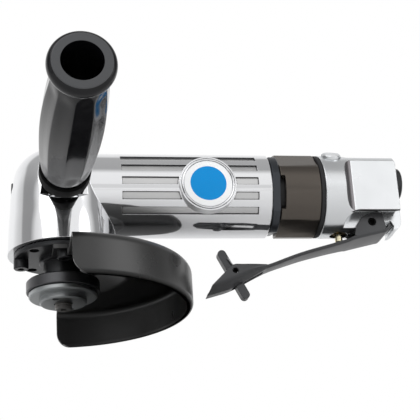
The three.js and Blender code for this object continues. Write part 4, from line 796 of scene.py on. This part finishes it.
def mark_valve_housing(obj):
    """Spigot and valve bore are near black; the pockets' roofs and ledges are painted black as shade, a
    painted shadow line; the run-outs take a darker alloy as a painted dark reflection.
    """
    for face, (x, y, z) in placed_faces(obj):
        across, normal = abs(y), face.normal
        from_valve = hypot(x - VALVE_STATION, y)
        in_bore = from_valve < VALVE_BORE + 2 * SLACK and z > 2 * SLACK - BARREL_RADIUS
        roof = normal.z < -0.7 and -POCKET_TOP - 0.5 < z < -TONGUE_TOP and x > BLOCK_FRONT
        painted_shadow_ledge = abs(normal.y) > 0.9 and abs(across - LEDGE_LINE) < SLACK / 2 and z < -TONGUE_TOP
        run_out = BLOCK_FRONT - RUN_OUT < x < BLOCK_FRONT and across > BLOCK_HALF + SLACK / 2
        curved = min(abs(normal.x), abs(normal.y)) > 0.05
        # Index 1: spigot and bore near black, pocket roofs and ledges painted shade
        if x < SHOULDER - SLACK / 2 or in_bore or roof or painted_shadow_ledge:
            face.material_index = 1
        # The run-outs take the darker alloy as a painted dark reflection
        elif run_out and curved and z > -POCKET_TOP:
            face.material_index = 2


casting = dress(valve_housing(), "valve_housing_casting",
                [cast_alloy, black_passage_and_shade, alloy_painted_dark_reflection], ["valve_housing"])
mark_valve_housing(casting)


def inlet_bushing():
    start, lead = VALVE_REAR + GAP, 0.8
    outline = [
        (INLET_BORE, INLET_THREAD_FRONT), (INLET_THREAD, INLET_THREAD_FRONT), (INLET_THREAD, start),
        (INLET_COLLAR - EDGE, start), (INLET_COLLAR, start + EDGE), (INLET_COLLAR, INLET_END - lead),
        (INLET_COLLAR - lead, INLET_END), (INLET_BORE + lead, INLET_END),
        (INLET_BORE, INLET_END - lead),
    ]
    wide, past = INLET_COLLAR + OVERRUN, INLET_END + OVERRUN
    flats = [block((start, INLET_FLAT, -wide), (past, wide, wide)),
             block((start, -wide, -wide), (past, -INLET_FLAT, wide))]
    return moved(cut(revolve(outline, "+X", 96), *flats), z=INLET_HEIGHT)


dress(inlet_bushing(), "inlet_bushing_body", black_steel, ["inlet_bushing"])


def driver_slot(start, end):
    reach, half = 3 * OVERRUN, DRIVER_WIDTH / 2
    return block((-reach, start, -half), (reach, end, half))


def regulator():
    chamfer = 0.5
    outline = [(0, REGULATOR_STEM_END), (REGULATOR_STEM, REGULATOR_STEM_END),
               (REGULATOR_STEM, REGULATOR_SEAT), (REGULATOR_RADIUS, REGULATOR_SEAT),
               (REGULATOR_RADIUS, REGULATOR_FACE - chamfer),
               (REGULATOR_RADIUS - chamfer, REGULATOR_FACE), (0, REGULATOR_FACE)]
    slot = driver_slot(-BARREL_RADIUS - 2 * OVERRUN, DRIVER_DEPTH - REGULATOR_FACE)
    return on_regulator(cut(revolve(outline, "-Y"), slot))


dress(regulator(), "regulator_screw", cast_alloy, ["regulator_knob"], "regulator")

# Valve spring: a coil whose upper end stays in the bore
SPRING_RADIUS = 3.9
SPRING_WIRE = 0.5
SPRING_TURNS = 5
SPRING_LOW = -8.2
SPRING_HIGH = 9.2


def valve_spring():
    rings, steps, sides = [], SPRING_TURNS * 24, 10
    for i in range(steps + 1):
        turn = 2 * pi * SPRING_TURNS * i / steps
        height = SPRING_LOW + (SPRING_HIGH - SPRING_LOW) * i / steps
        points = []
        for j in range(sides):
            around = 2 * pi * j / sides
            reach = SPRING_RADIUS + SPRING_WIRE * cos(around)
            points.append((reach * cos(turn), reach * sin(turn),
                           height + SPRING_WIRE * sin(around)))
        rings.append(points)
    return moved(loft(rings), VALVE_STATION)


spring = dress(valve_spring(), "valve_spring_coil", bright_steel,
               ["valve_spring"])
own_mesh(spring)

# Throttle lever, pressed from plate: ears at the pivot, a narrow neck and a hollow nose.
# Stations and drops are shares of the length and drop from heel to tip
LEVER_HALF = 11.0
LEVER_THICKNESS = 1.7
LEVER_LENGTH = 106.3
LEVER_DROP = 37.0
HEEL = (186.8, -20.8)
FOLD_RADIUS = 1.8
UNDERSIDE_SHARES = [
    (0, 0), (0.005, 0.059), (0.026, 0.114), (0.05, 0.131), (0.172, 0.214), (0.249, 0.273),
    (0.365, 0.359), (0.467, 0.438), (0.532, 0.497), (0.597, 0.562), (0.652, 0.619), (0.707, 0.676),
]
WIDTH_SHARES = [
    (-0.02, 1), (0.2, 1), (0.235, 0.87), (0.275, 0.79), (0.337, 0.72), (0.402, 0.69),
    (0.53, 0.64), (0.624, 0.56), (0.655, 0.55), (0.72, 0.62),
]
REAR_EAR_SHARES = [
    (-1.02, -1.34), (-0.943, -0.689), (-0.83, -0.23), (-0.594, 0.311), (-0.311, 0.689),
    (0.028, 0.902), (0.274, 0.951), (0.566, 0.951), (0.632, 0.754), (0.67, 0.246), (0.764, -0.607),
]
EAR_REACH = 10.6
EAR_RISE = 6.1
EAR_ROUND_POINTS = 8
EAR_FOOT = slice(3, 5)

# Sections of the nose: along, then width and drop of its rim, its bend and its keel
NOSE_SHARES = [
    (0.69, 0.655, 0.608, 0.673, 0.632, 0.5, 0.657),
    (0.76, 0.755, 0.611, 0.836, 0.697, 0.33, 0.768),
    (0.821, 0.755, 0.611, 0.873, 0.765, 0.29, 0.865),
    (0.875, 0.745, 0.619, 0.873, 0.835, 0.29, 0.941),
    (0.918, 0.782, 0.73, 0.864, 0.881, 0.29, 0.989),
    (0.995, 0.818, 0.949, 0.822, 0.962, 0.29, 1.065),
]
NOSE_STEPS = 6
BEND_ROUNDING = 3.0
KEEL_ROUNDING = 0.7
KEEL_LEAD = 2.2
SAFETY_SHARE = (0.866, 0.716)
SAFETY_PIN = 1.4
SAFETY_PIN_HALF = 9.3
SAFETY_LEAN = -26.5
SAFETY_FRONT = 15.9
SAFETY_REAR = 15.5
SAFETY_END = 2.4
SAFETY_HALF = 2.5
SLIT_FRONT = 1.1
SLIT_REAR = 17.3
SLIT_HALF = 2.8
SLIT_BOTTOM = -80.0
PIN_PROUD = 0.2


def lever_point(share):
    return HEEL[0] - share[0] * LEVER_LENGTH, HEEL[1] - share[1] * LEVER_DROP


def sample(table, at):
    for (a, low), (b, high) in zip(table, table[1:]):
        if at <= b:
            return low + (high - low) * (at - a) / (b - a)
    return table[-1][1]


def lever_envelope(path):
    """Everything above the underside, within the lever's width, with its folds rounded."""
    widths = smooth_path(WIDTH_SHARES, 6)
    rings = []
    for x, z in path:
        half = sample(widths, (HEEL[0] - x) / LEVER_LENGTH) * LEVER_HALF
        folds = arc_points(half - FOLD_RADIUS, z + FOLD_RADIUS, FOLD_RADIUS, -90, 0, 6)
        section = folds + [(half, OVERRUN)]
        rings.append([(x, -y, h) for y, h in section[::-1]] + [(x, y, h) for y, h in section])
    return loft(rings)


def rear_ears(outline):
    inner, outer = LEVER_HALF - LEVER_THICKNESS, LEVER_HALF + OVERRUN
    return join(prism(outline, "+Y", inner, outer), prism(outline, "+Y", -outer, -inner))


def bent_plate():
    path = [lever_point(share) for share in UNDERSIDE_SHARES]
    fine = smooth_path(path, 6)
    top = offset_path(fine, -LEVER_THICKNESS)
    reach = 3 * OVERRUN
    rear, front = HEEL[0] + reach, top[-1][0] - reach
    roof = [(front, top[-1][1]), (front, reach), (rear, reach), (rear, top[0][1])]
    plate = cut(lever_envelope(fine), prism(top + roof, "+Y", -BARREL_RADIUS, BARREL_RADIUS))
    crown = [(PIVOT_STATION + a * EAR_REACH, r * EAR_RISE - PIVOT_DROP) for a, r in REAR_EAR_SHARES]
    middle = offset_path(path, -LEVER_THICKNESS / 2)
    outline = smooth_path(crown[:EAR_ROUND_POINTS], 4) + crown[EAR_ROUND_POINTS:] + middle[EAR_FOOT]
    return join(plate, common(lever_envelope(fine), rear_ears(outline)))


def rounded_bend(corner, before, after, reach, steps=6):
    """Curve that leaves the line before a corner and meets the line after it."""
    start = corner + (before - corner).normalized() * min(reach, (before - corner).length * 0.48)
    end = corner + (after - corner).normalized() * min(reach, (after - corner).length * 0.48)
    shares = [i / steps for i in range(steps + 1)]
    return [start * (1 - t) ** 2 + corner * 2 * t * (1 - t) + end * t ** 2 for t in shares]


def nose_section(row, tip, inset=0.0, above=0.0):
    points = []
    for i in range(3):
        x, z = lever_point((row[0], row[2 * i + 2]))
        lead = tip * KEEL_LEAD if i == 2 else 0.0
        points.append(Vector((x - lead, row[2 * i + 1] * LEVER_HALF - inset, z)))
    rim, bend, keel = points
    rim.z += above
    bend.z += inset / 2
    keel.z += inset
    middle = Vector((keel.x, 0, keel.z))
    far = [rim, *rounded_bend(bend, rim, keel, BEND_ROUNDING),
           *rounded_bend(keel, bend, middle, KEEL_ROUNDING)]
    near = [Vector((p.x, -p.y, p.z)) for p in far]
    return near + far[::-1]


def lever_nose():
    rows = smooth_path(NOSE_SHARES, NOSE_STEPS)
    start = len(rows) - NOSE_STEPS - 1
    tips = [max(i - start, 0) / NOSE_STEPS for i in range(len(rows))]
    outer = [nose_section(row, tip) for row, tip in zip(rows, tips)]
    inner = [nose_section(row, tip, LEVER_THICKNESS, OVERRUN) for row, tip in zip(rows, tips)]
    lead = Vector((0.7 * KEEL_LEAD, 0, 0))
    inner[0] = [point - lead for point in inner[0]]
    inner.append([point - lead for point in inner[-1]])
    return cut(loft(outer), loft(inner))


def on_catch(obj):
    station, height = lever_point(SAFETY_SHARE)
    return moved(obj, station, 0, height)


def throttle_lever():
    station, height = lever_point(SAFETY_SHARE)
    tools = [
        on_pivot(pin_hole(PIVOT_RADIUS, 48)),
        on_catch(pin_hole(SAFETY_PIN, 32)),
        block((station - SLIT_FRONT, -SLIT_HALF, SLIT_BOTTOM),
              (station + SLIT_REAR, SLIT_HALF, height + OVERRUN)),
    ]
    return cut(join(bent_plate(), lever_nose()), *tools)


dress(throttle_lever(), "lever_plate", lever_paint, ["throttle_lever"], "lever")


def hollow_pin(radius, half_length):
    """Pin with a bored, rounded end on each side."""
    bore, depth, lead, rounding = radius * 0.62, 2.2, 0.2, 0.3
    end = [(0, half_length - depth), (bore, half_length - depth), (bore, half_length - lead),
           (bore + lead, half_length), (radius - rounding, half_length),
           (radius, half_length - rounding)]
    outline = [(r, -s) for r, s in end] + end[::-1]
    return revolve(outline, "+Y", 48)


pivot_pin = on_pivot(hollow_pin(PIVOT_RADIUS, LEVER_HALF + PIN_PROUD))
dress(pivot_pin, "pivot_pin", satin_black, ["lever_pin"])
catch_pin = on_catch(hollow_pin(SAFETY_PIN, SAFETY_PIN_HALF))
dress(catch_pin, "catch_pin", satin_black, ["safety_pin"], "lever")


def safety_lever():
    end, reach = SAFETY_END, 2 * SAFETY_HALF
    outline = (arc_points(0, SAFETY_REAR - end, end, 0, 180, 16)
               + arc_points(0, end - SAFETY_FRONT, end, 180, 360, 16))
    bar = cut(prism(outline, "+Y", -SAFETY_HALF, SAFETY_HALF),
              rod(SAFETY_PIN + GAP, -reach, reach, "+Y", 32))
    return on_catch(turned(bar, SAFETY_LEAN, "Y"))


dress(safety_lever(), "catch_lever", lever_paint, ["safety_lever"], "safety")

# Guard, bearing cap and screws
CAP_THICKNESS = 2.5
CAP_TOP = HEAD_DEPTH + GAP
CAP_BOTTOM = CAP_TOP + CAP_THICKNESS
PILOT_BOTTOM = CAP_BOTTOM + 2.4
GUARD_THICKNESS = 1.8
LAND_TOP = CAP_BOTTOM + GAP
GUARD_EAR = 6.5
GUARD_END = 0.4
GUARD_ROUNDING = 9.0
GUARD_HOLE = 13.0
GUARD_PLATE = 46.0
GUARD_STEP = (28.6, 37.5)
GUARD_LIP = 3.6
GUARD_SCREWS = (0, 90, 270)
LAND_RADIUS = 30.0
LIFT_HOLE = 2.7
DIAGONALS = (45, 135, 225, 315)
SCREW_GRIP = 10
HEX = 6


def guard_path():
    corner, crest, foot, fold = 5.0, 1.6, 2.0, 2.2
    return [
        (GUARD_HOLE, -LAND_TOP), *arc_points(GUARD_STEP[0], -LAND_TOP - crest, crest, 90, 40, 5),
        *arc_points(GUARD_STEP[1], foot - GUARD_PLATE, foot, 225, 270, 5),
        *arc_points(GUARD_RADIUS - corner, -GUARD_PLATE - corner, corner, 90, 0, 10),
        *arc_points(GUARD_RADIUS - fold, fold - GUARD_RIM, fold, 0, -90, 6),
        (GUARD_RADIUS - GUARD_LIP, -GUARD_RIM),
    ]


def guard_corner(side):
    low, front = -GUARD_RIM - OVERRUN, -OVERRUN - GUARD_EAR
    centre = (GUARD_END + GUARD_ROUNDING, GUARD_ROUNDING - GUARD_RIM)
    arc = arc_points(*centre, GUARD_ROUNDING, 180, 270, 12)
    outline = [(front, centre[1])] + arc + [(centre[0], low), (front, low)]
    near, far = GUARD_RADIUS / 2, GUARD_RADIUS + OVERRUN
    return prism(outline, "+Y", near, far) if side > 0 else prism(outline, "+Y", -far, -near)


def guard():
    whole = revolve(strip(guard_path(), -GUARD_THICKNESS), "+Z", 256)
    wide, low = GUARD_RADIUS + OVERRUN, -GUARD_RIM - OVERRUN
    land = common(block((-GUARD_EAR, -LAND_RADIUS, low), (wide, LAND_RADIUS, 0)),
                  rod(LAND_RADIUS, low, 0, "+Z", 96))
    kept = common(whole, join(block((GUARD_END, -wide, low), (wide, wide, 0)), land))
    holes = screw_tools(-LAND_TOP - 5, OVERRUN - LAND_TOP, SCREW_HOLE, GUARD_SCREWS)
    return cut(kept, guard_corner(1), guard_corner(-1), *holes)


dress(guard(), "guard_shell", black_coat, ["guard"])


def bearing_cap():
    hole, nose, pilot, rim, skirt, seat = 8.8, 10.4, 12.7, 26.5, 18.2, 16.3
    pilot_end, underside = -PILOT_BOTTOM, -CAP_BOTTOM
    nose_end, skirt_top, seat_end = -50, -26.3, -36.8
    outline = [
        (hole, nose_end), (nose - EDGE, nose_end), (nose, nose_end + EDGE), (nose, pilot_end),
        (pilot - EDGE, pilot_end), (pilot, pilot_end + EDGE), (pilot, underside),
        (rim - EDGE, underside), (rim, underside + EDGE), (rim, -CAP_TOP), (skirt, -CAP_TOP),
        (skirt, skirt_top), (seat, skirt_top), (seat, seat_end), (hole, seat_end),
    ]
    low, high = underside - OVERRUN, OVERRUN - CAP_TOP
    return cut(revolve(outline, "+Z", 128), *screw_tools(low, high, SCREW_HOLE, QUARTERS),
               *screw_tools(low, high, LIFT_HOLE, DIAGONALS))


dress(bearing_cap(), "cap_body", black_steel, ["bearing_cap"])


def cap_screw(reach):
    head, height, shank, socket, chamfer = 4.1, 4.8, 1.9, 1.9, 0.5
    outline = [(0, -height), (head - chamfer, -height), (head, chamfer - height), (head, 0),
               (shank, 0), (shank, reach - chamfer), (shank - chamfer, reach), (0, reach)]
    return cut(revolve(outline, "+Z", 48), rod(socket, -height - OVERRUN, -height / 2, "+Z", HEX))


for number, angle in enumerate((180, 0, 90, -90), start=1):
    sheet = GUARD_THICKNESS + GAP if number > 1 else 0.0
    screw = cap_screw(CAP_THICKNESS + 2 * GAP + SCREW_GRIP + sheet)
    around = radians(angle)
    moved(screw, SCREW_CIRCLE * cos(around), SCREW_CIRCLE * sin(around),
          -CAP_BOTTOM - GAP - sheet)
    dress(screw, f"socket_screw_{number}", black_steel,
          [f"cap_screw_{number}"])


# Wheel flanges and spindle; a step of the shaft is its radius and the height where it ends
FLANGE_SIDES = 160
NUT_ANGLE = 63.0
NUT_HOLE = 1.9
NUT_HOLE_DEPTH = 4.0
NUT_HOLE_CIRCLE = 10.2
SPINDLE_STEPS = [(4.75, -57.2), (6, -50.2), (8.5, -36.8), (6, -6), (5, 11.3), (4, 18.2)]
SPINDLE_TIP = -66.4
SPINDLE_CENTRE = 1.6
THREAD_LEAD = 4.1
THREAD_ROOT = 4.3
THREAD_START = -65.8
THREAD_END = -58.0
THREAD_PITCH = 1.25
KEYWAY = [(4.3, -1.5, -24.3), (7.6, 1.5, -14.7)]


def inner_flange():
    top, bottom, bore, relief, rim, chamfer = -50.5, -57.0, 6.3, 13, 20, 0.8
    outline = [(bore, bottom + chamfer), (relief, bottom + chamfer), (relief, bottom),
               (rim - EDGE, bottom), (rim, bottom + EDGE), (rim, top - chamfer), (rim - chamfer, top),
               (bore, top)]
    return revolve(outline, "+Z", FLANGE_SIDES)


def flange_nut():
    top, step, bottom, bore, hub, rim, chamfer = -57.3, -60.0, -63.3, 5.05, 12.8, 18.7, 0.7
    outline = [(bore, bottom), (hub - chamfer, bottom), (hub, bottom + chamfer), (hub, step),
               (rim - chamfer, step), (rim, step + chamfer), (rim, top), (bore, top)]
    holes = [moved(rod(NUT_HOLE, bottom - OVERRUN, bottom + NUT_HOLE_DEPTH, "+Z", 32), offset)
             for offset in (NUT_HOLE_CIRCLE, -NUT_HOLE_CIRCLE)]
    return turned(cut(revolve(outline, "+Z", FLANGE_SIDES), *holes), NUT_ANGLE, "Z")


def spindle():
    thread, station, crest = [], THREAD_START, SPINDLE_STEPS[0][0]
    while station < THREAD_END:
        thread += [(THREAD_ROOT, station), (crest, station + THREAD_PITCH / 2)]
        station += THREAD_PITCH
    outline = [(0, SPINDLE_TIP), (THREAD_LEAD, SPINDLE_TIP), *thread, SPINDLE_STEPS[0]]
    for (_, start), (radius, end) in zip(SPINDLE_STEPS, SPINDLE_STEPS[1:]):
        outline += [(radius, start), (radius, end)]
    outline.append((0, SPINDLE_STEPS[-1][1]))
    centre = rod(SPINDLE_CENTRE, SPINDLE_TIP - OVERRUN, SPINDLE_TIP + 3, "+Z", 32)
    return cut(revolve(outline, "+Z"), centre, block(*KEYWAY))


dress(inner_flange(), "wheel_flange", dark_flange, ["inner_flange"], "spindle_set")
dress(flange_nut(), "clamp_nut", nut_steel, ["outer_flange_nut"], "spindle_set")
dress(spindle(), "spindle_shaft", spindle_steel, ["spindle"], "spindle_set")


def plug(radius, start, end, chamfer, axis):
    outline = [(0, start), (radius, start), (radius, end - chamfer), (radius - chamfer, end), (0, end)]
    return revolve(outline, axis)


def grease_plug():
    socket = rod(2, PLUG_FACE - 2.5, PLUG_FACE + OVERRUN, "-X", HEX)
    body = plug(PLUG_RADIUS, PLUG_FACE - HOLE_DEPTH, PLUG_FACE, 0.5, "-X")
    return moved(cut(body, socket), z=PLUG_HEIGHT)


def hole_plug():
    body = plug(STUD_RADIUS, BOSS_END - HOLE_DEPTH + GAP, BOSS_END - GAP, EDGE, "+Y")
    return cut(body, driver_slot(BOSS_END - DRIVER_DEPTH, BOSS_END + OVERRUN))


dress(grease_plug(), "grease_plug_body", black_steel, ["grease_plug"])
dress(hole_plug(), "boss_plug_body", black_steel, ["handle_hole_plug"])

# Side handle
COLLAR_START = BOSS_END + GAP
COLLAR_END = COLLAR_START + 9.5
COLLAR_RADIUS = 14.0
COLLAR_ROUNDING = 1.1
STUD_END = 74.3
GRIP_START = COLLAR_END + GAP
GRIP_RADIUS = 16.6
GRIP_SHARES = [
    (0, 0.77), (0.022, 0.795), (0.09, 0.855), (0.18, 0.915), (0.38, 0.988), (0.545, 1),
    (0.705, 0.952), (0.865, 0.845), (0.915, 0.81), (0.932, 0.9), (0.948, 0.965), (0.968, 0.982),
    (0.988, 0.94), (1, 0.83),
]
FLUTES = 10
FLUTE_DEPTH = 0.9
FLUTE_TURN = radians(8.5)
FLUTE_START = 0.05
FLUTE_END = 0.9
FLUTE_FADE = 12
END_HOLE = 10.0
END_HOLE_DEPTH = 38


def collar():
    bore, rounding = STUD_RADIUS + GAP, COLLAR_ROUNDING
    flat = COLLAR_RADIUS - rounding
    edges = [*arc_points(flat, COLLAR_START + rounding, rounding, -90, 0, 6),
             *arc_points(flat, COLLAR_END - rounding, rounding, 0, 90, 6)]
    return revolve([(bore, COLLAR_START), *edges, (bore, COLLAR_END)], "-Y", 128)


def grip():
    """Swelling body, its flutes fading out towards both ends."""
    count, length = 240, HANDLE_END - GRIP_START
    rings = []
    for share, width in smooth_path(GRIP_SHARES, 7):
        inside = (share - FLUTE_START) / (FLUTE_END - FLUTE_START)
        fade = min(max(min(inside, 1 - inside) * FLUTE_FADE, 0), 1)
        points = []
        for i in range(count):
            angle = 2 * pi * i / count
            wave = abs(sin(FLUTES * (angle - FLUTE_TURN) / 2))
            reach = width * GRIP_RADIUS - FLUTE_DEPTH * fade * wave
            x, z = reach * cos(angle), reach * sin(angle)
            points.append((x, -GRIP_START - share * length, z))
        rings.append(points)
    tools = [rod(STUD_RADIUS + GAP, GRIP_START - OVERRUN, STUD_END, "-Y"),
             rod(END_HOLE, HANDLE_END - END_HOLE_DEPTH, HANDLE_END + OVERRUN, "-Y", 128)]
    return cut(loft(rings), *tools)


dress(collar(), "collar_body", satin_black, ["handle_collar"])
grip_piece = dress(grip(), "grip_body", [gloss_black, grip_end],
                   ["side_handle_grip"])
for face, centre in placed_faces(grip_piece):
    face.material_index = int(centre.y < 3 * SLACK - HANDLE_END)

# Pieces whose solids stay as they are
KEPT = {
    bright_steel: ["gear_key", "lower_bearing", "upper_bearing", "rotor", "front_end_plate",
                   "cylinder_liner", "rear_end_plate", "front_rotor_bearing", "rear_rotor_bearing",
                   "safety_spring", "handle_stud"],
    gear_steel: ["bevel_gear", "pinion"],
    vane_resin: [f"vane_{i}" for i in range(1, 6)],
    brass: ["inlet_screen"],
    pale_brass: ["valve_stem"],
    dull_brass: ["valve_bushing"],
}
for material, names in KEPT.items():
    for name in names:
        nodes[name].data.materials.clear()
        nodes[name].data.materials.append(material)


# Floor seen from above only, so that the photograph's low camera looks through it
FLOOR_HALF = 3.0
FLOOR_COLOUR = (0.8, 0.8, 0.8, 1)
FLOOR_ROUGHNESS = 0.9


def add_floor():
    half = FLOOR_HALF
    corners = [(-half, -half, 0), (half, -half, 0), (half, half, 0), (-half, half, 0)]
    floor = make(corners, [[0, 1, 2, 3]], "floor")
    material = bpy.data.materials.new("floor")
    material.use_nodes = True
    tree = material.node_tree
    shader = tree.nodes["Principled BSDF"]
    fill(tree, shader, {"Base Color": FLOOR_COLOUR, "Roughness": FLOOR_ROUGHNESS})
    side = add_node(tree, "NewGeometry").outputs["Backfacing"]
    clear = add_node(tree, "BsdfTransparent").outputs[0]
    mix = add_node(tree, "MixShader", {0: side, 1: shader.outputs[0], 2: clear})
    fill(tree, tree.nodes["Material Output"], {"Surface": mix.outputs[0]})
    floor.data.materials.append(material)


# Backdrop brightness by the angle round the barrel axis: 0 is level in front of the tool, 90
# is overhead and 180 level behind it
STUDIO_BANDS = [
    (-180, 1.0), (0, 1.0), (3, 0.75), (10, 0.75), (14, 0.93), (44, 0.96), (58, 0.42), (104, 0.45),
    (114, 0.85), (145, 1.0), (180, 1.0),
]
STUDIO_LIGHT = 0.9
# Towards its end walls, along the barrel axis, the studio turns a little greyer
END_WALL = (0.65, 0.92)
END_LEVEL = 0.72


def add_world():
    """Soft even light, and for camera and reflections a white studio with pale grey bands."""
    world = bpy.data.worlds.new("studio")
    bpy.context.scene.world = world
    world.use_nodes = True
    tree = world.node_tree
    tree.nodes.clear()

    def maths(operation, first, second):
        return add_node(tree, "Math", {0: first, 1: second}, operation=operation).outputs[0]

    place = add_node(tree, "TexCoord").outputs["Generated"]
    along, side, height = add_node(tree, "SeparateXYZ", {0: place}).outputs
    around = maths("ARCTAN2", height, maths("MULTIPLY", side, -1.0))
    share = maths("ADD", maths("DIVIDE", around, 2 * pi), 0.5)
    ramp = add_node(tree, "ValToRGB", {"Fac": share})
    colours = ramp.color_ramp.elements
    while len(colours) < len(STUDIO_BANDS):
        colours.new(0.5)
    for element, (degrees, level) in zip(colours, STUDIO_BANDS):
        element.position = degrees / 360 + 0.5
        element.color = (level, level, level, 1)
    wall = add_node(tree, "MapRange", {
        "Value": maths("ABSOLUTE", along, 0), "From Min": END_WALL[0], "From Max": END_WALL[1],
        "To Min": 1.0, "To Max": END_LEVEL,
    }, interpolation_type="SMOOTHSTEP")
    backdrop = add_node(tree, "Background", {
        "Color": ramp.outputs["Color"], "Strength": wall.outputs["Result"],
    })
    light = add_node(tree, "Background", {"Color": (1, 1, 1, 1), "Strength": STUDIO_LIGHT})
    rays = add_node(tree, "LightPath").outputs
    seen = maths("MAXIMUM", rays["Is Camera Ray"], rays["Is Glossy Ray"])
    seen = maths("MAXIMUM", seen, rays["Is Transmission Ray"])
    mix = add_node(tree, "MixShader", {0: seen, 1: light.outputs[0], 2: backdrop.outputs[0]})
    add_node(tree, "OutputWorld", {"Surface": mix.outputs[0]})


# Place, size and power of each lamp, and the point that both light
LAMPS = {
    "key_lamp": ((-0.5, -0.7, 0.9), 1.1, 3.1),
    "fill_lamp": ((0.8, -0.8, 0.3), 0.75, 1.45),
}
LAMP_AIM = Vector((0, 0, 0.05))


def add_lamp(name, place, size, power):
    data = bpy.data.lights.new(name, "AREA")
    data.shape = "DISK"
    data.size = size
    data.energy = power
    lamp = bpy.data.objects.new(name, data)
    lamp.location = place
    lamp.rotation_euler = (LAMP_AIM - Vector(place)).to_track_quat("-Z", "Y").to_euler()
    bpy.context.scene.collection.objects.link(lamp)


add_floor()
add_world()
for lamp_name, settings in LAMPS.items():
    add_lamp(lamp_name, *settings)
bpy.context.scene.view_settings.view_transform = "Standard"
